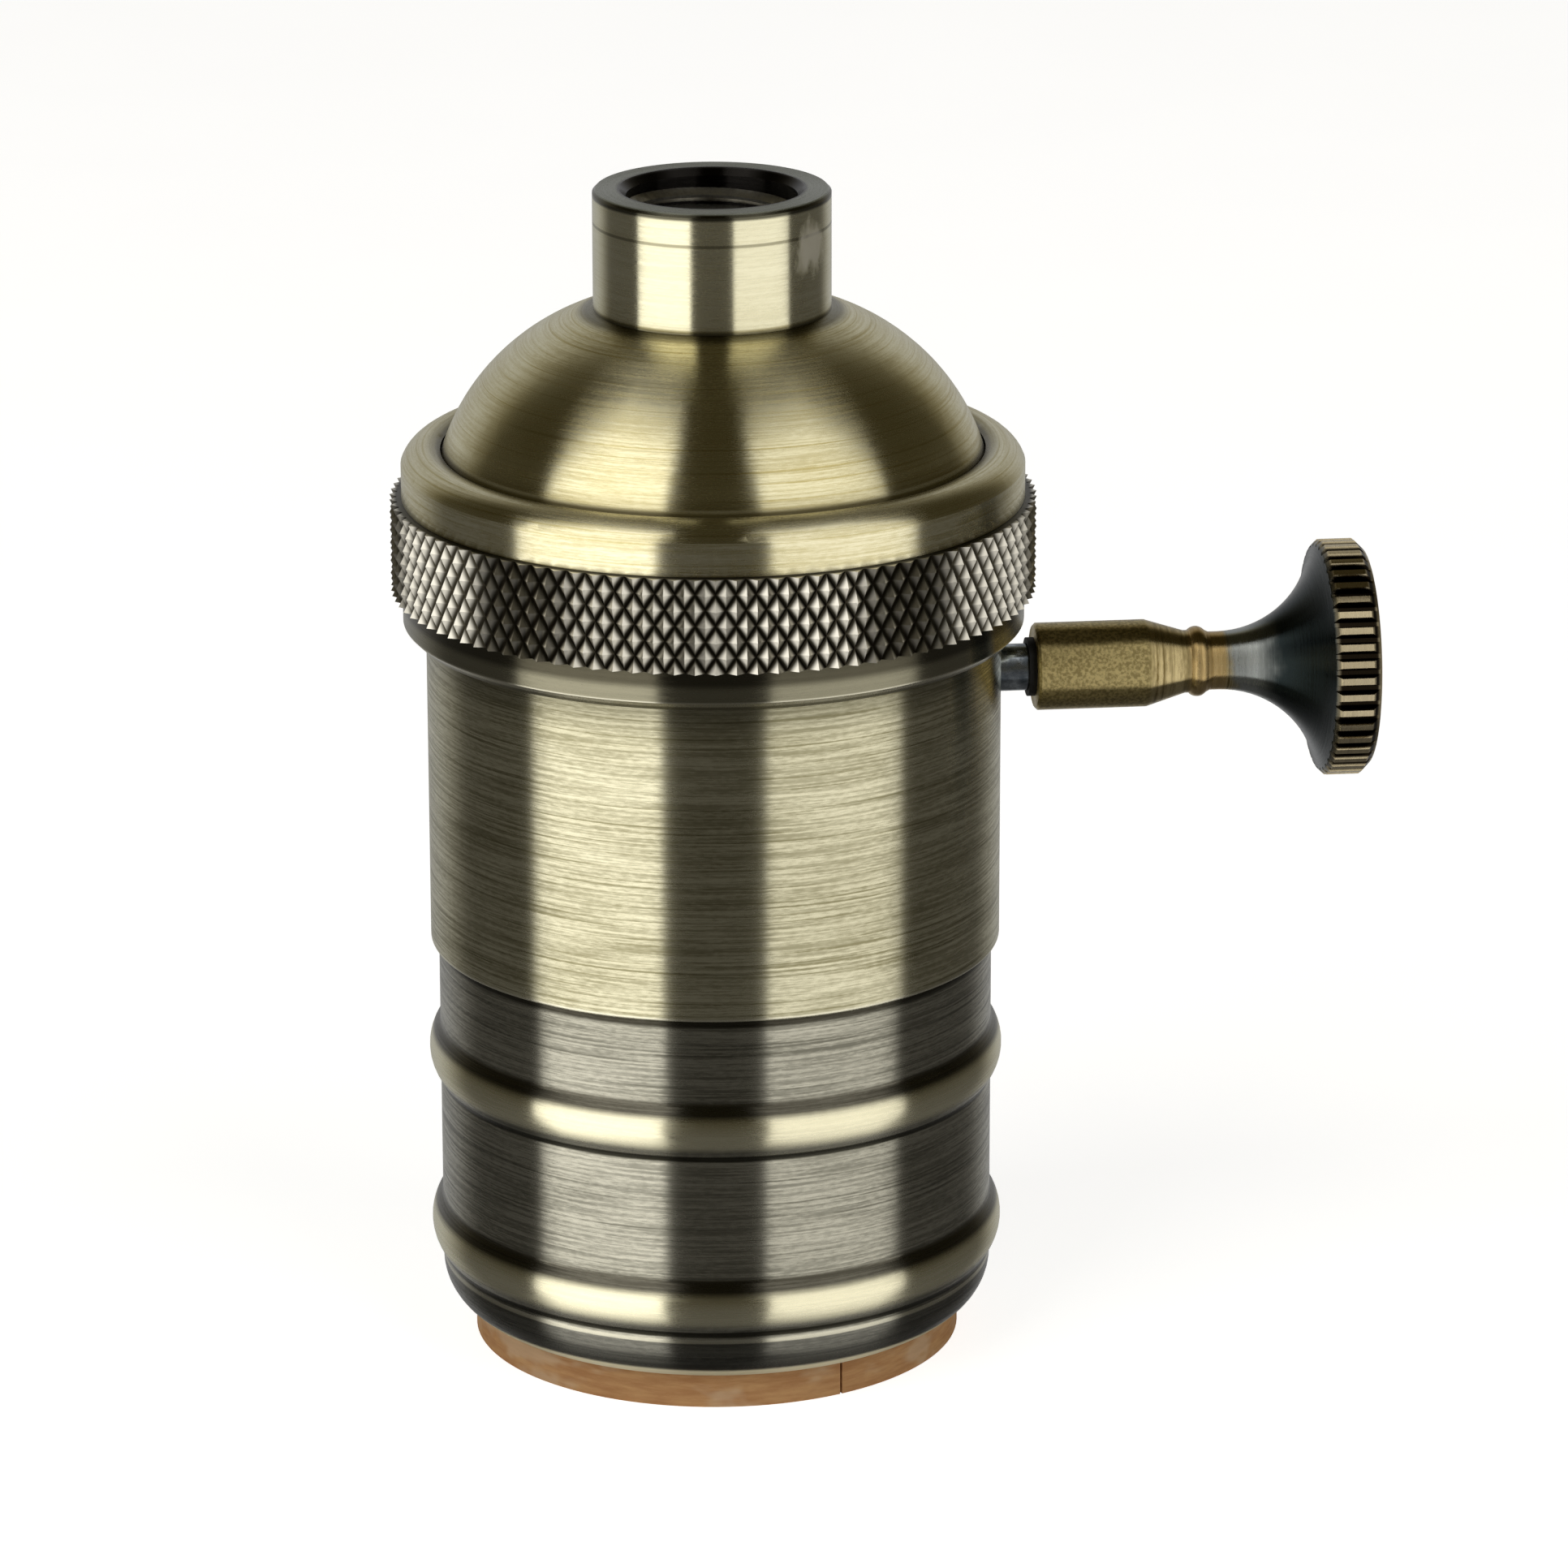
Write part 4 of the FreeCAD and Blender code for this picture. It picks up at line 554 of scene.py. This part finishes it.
def make_inlet_thread(material):
    """The inlet's fine right-hand thread, as one ridge that stands in from the bore's wall."""
    turns = (THREAD_HIGH - THREAD_LOW - THREAD_PITCH) / THREAD_PITCH
    total = int(turns * STEPS_PER_TURN)
    points, faces = [], []
    for step in range(total + 1):
        base = len(points)
        points += ridge_section(step, total)
        if step:
            faces += [(base + k - 4, base + k - 3, base + k + 1, base + k) for k in range(3)]
    thread = make_mesh("inlet_thread", points, faces)
    thread.data.materials.append(material)
    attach(thread, "cap")


def make_spring(material):
    """The contact spring again, as a coil with its own mesh and material, on the holder."""
    coil = bpy.data.objects.new("contact_coil", frame["nodes"]["contact_spring"].data.copy())
    bpy.context.collection.objects.link(coil)
    coil.data.materials.clear()
    coil.data.materials.append(material)
    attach(coil, "holder")
    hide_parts("contact_spring")
    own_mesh(coil)


# ---- studio -------------------------------------------------------------------------------

CAMERA_PLACE = Vector((-0.04275, -0.42586, 0.1695))
CAMERA_YAW, CAMERA_PITCH, CAMERA_ROLL = 0.1097, 0.3068, -0.0017
LENS, SENSOR = 173.4, 36.0
SOFTBOX_DISTANCE = 0.6
SOFTBOX_LOW, SOFTBOX_HIGH = -0.6, 1.3
SOFTBOX_COLOUR = (1.0, 0.985, 0.95)
FLOOR_HALF = 4.0
FLOOR_GLOW = 0.76
FLOOR_DARK, FLOOR_LIGHT = (0.84, 0.84, 0.84, 1), (0.86, 0.86, 0.86, 1)
WHITE = (1.0, 1.0, 1.0, 1.0)

# The room that the metal mirrors: its brightness and tint around, above and behind the object
LEVEL_AROUND, LEVEL_ABOVE, LEVEL_BEHIND = 0.1, 0.035, 0.42
TINT_AROUND, TINT_ABOVE = (1.0, 0.97, 0.92, 1), (1.0, 0.84, 0.4, 1)


def make_camera():
    """The photograph's view: slightly from above and from the left of the knob's side view."""
    data = bpy.data.cameras.new("view")
    data.lens, data.sensor_width = LENS, SENSOR
    data.clip_start, data.clip_end = 0.01, 50.0
    camera = bpy.data.objects.new("view", data)
    yaw = Matrix.Rotation(-CAMERA_YAW, 4, "Z")
    pitch = Matrix.Rotation(math.pi / 2 - CAMERA_PITCH, 4, "X")
    roll = Matrix.Rotation(CAMERA_ROLL, 4, "Z")
    camera.matrix_world = Matrix.Translation(CAMERA_PLACE) @ (yaw @ pitch @ roll)
    bpy.context.collection.objects.link(camera)
    bpy.context.scene.camera = camera


def make_softbox(name, bearing, width, level):
    """An upright soft light that faces the object; bearing is in degrees from the front."""
    tall = SOFTBOX_HIGH - SOFTBOX_LOW
    data = bpy.data.lights.new(name, "AREA")
    data.shape = "RECTANGLE"
    data.size, data.size_y = width, tall
    data.energy = level * math.pi * width * tall
    data.color = SOFTBOX_COLOUR
    light = bpy.data.objects.new(name, data)
    angle = math.radians(bearing) - CAMERA_YAW / 2
    across, toward = math.sin(angle), -math.cos(angle)
    middle = (SOFTBOX_LOW + SOFTBOX_HIGH) / 2
    light.location = (SOFTBOX_DISTANCE * across, SOFTBOX_DISTANCE * toward, middle)
    light.rotation_euler = (math.pi / 2, 0, angle)
    light.visible_camera = False
    bpy.context.collection.objects.link(light)


def make_floor():
    """A pale floor that shows the object's shadow; the metal doesn't mirror it."""
    material = bpy.data.materials.new("floor")
    tree = Tree(material)
    grain = tree.ramp(tree.even_noise(40, detail=2.0), 0.3, 0.7)
    tone = tree.blend(grain, FLOOR_DARK, FLOOR_LIGHT)
    matt = tree.add("ShaderNodeBsdfDiffuse", {"Color": tone})
    seen = tree.times(tree.add("ShaderNodeLightPath"), FLOOR_GLOW)
    glow = tree.add("ShaderNodeEmission", {"Color": WHITE, "Strength": seen})
    tree.finish(tree.add("ShaderNodeAddShader", {0: matt, 1: glow}))
    half = FLOOR_HALF
    corners = [(-half, -half, 0), (half, -half, 0), (half, half, 0), (-half, half, 0)]
    floor = make_mesh("floor", corners, [(0, 1, 2, 3)])
    floor.data.materials.append(material)
    floor.visible_glossy = False


def make_world():
    """White behind the object; the room that the metal mirrors is dim, warm and darker above,
    and lighter behind the object."""
    world = bpy.data.worlds.new("studio")
    bpy.context.scene.world = world
    tree = Tree(world)
    split = tree.nodes.new("ShaderNodeSeparateXYZ")
    tree.links.new(tree.add("ShaderNodeTexCoord", output=0), split.inputs[0])
    back = tree.ramp(split.outputs[1], 0.5, 0.88)
    above = tree.ramp(split.outputs[2], -0.25, 0.35)
    level = tree.vary(back, tree.vary(above, LEVEL_AROUND, LEVEL_ABOVE), LEVEL_BEHIND)
    tint = tree.blend(back, tree.blend(above, TINT_AROUND, TINT_ABOVE), WHITE)
    room = tree.add("ShaderNodeBackground", {"Color": tint, "Strength": level})
    white = tree.add("ShaderNodeBackground", {"Color": WHITE, "Strength": 1.0})
    seen = tree.add("ShaderNodeLightPath")
    background = tree.add("ShaderNodeMixShader", {0: seen, 1: room, 2: white})
    tree.finish(background, "ShaderNodeOutputWorld")


def main():
    """Builds the whole scene."""
    finishes = make_finishes()
    dress_nodes(finishes)
    make_spring(finishes["spring_steel"])
    oxide = plain("thread_oxide", THREAD_LIGHT, THREAD_DARK, rough=0.35, metallic=1.0)
    make_inlet_thread(oxide)
    make_camera()
    make_softbox("softbox_left", bearing=-50.6, width=0.617, level=1.5)
    make_softbox("softbox_right", bearing=47, width=0.66, level=1.03)
    make_floor()
    make_world()
    bpy.context.scene.view_settings.view_transform = "Standard"


main()
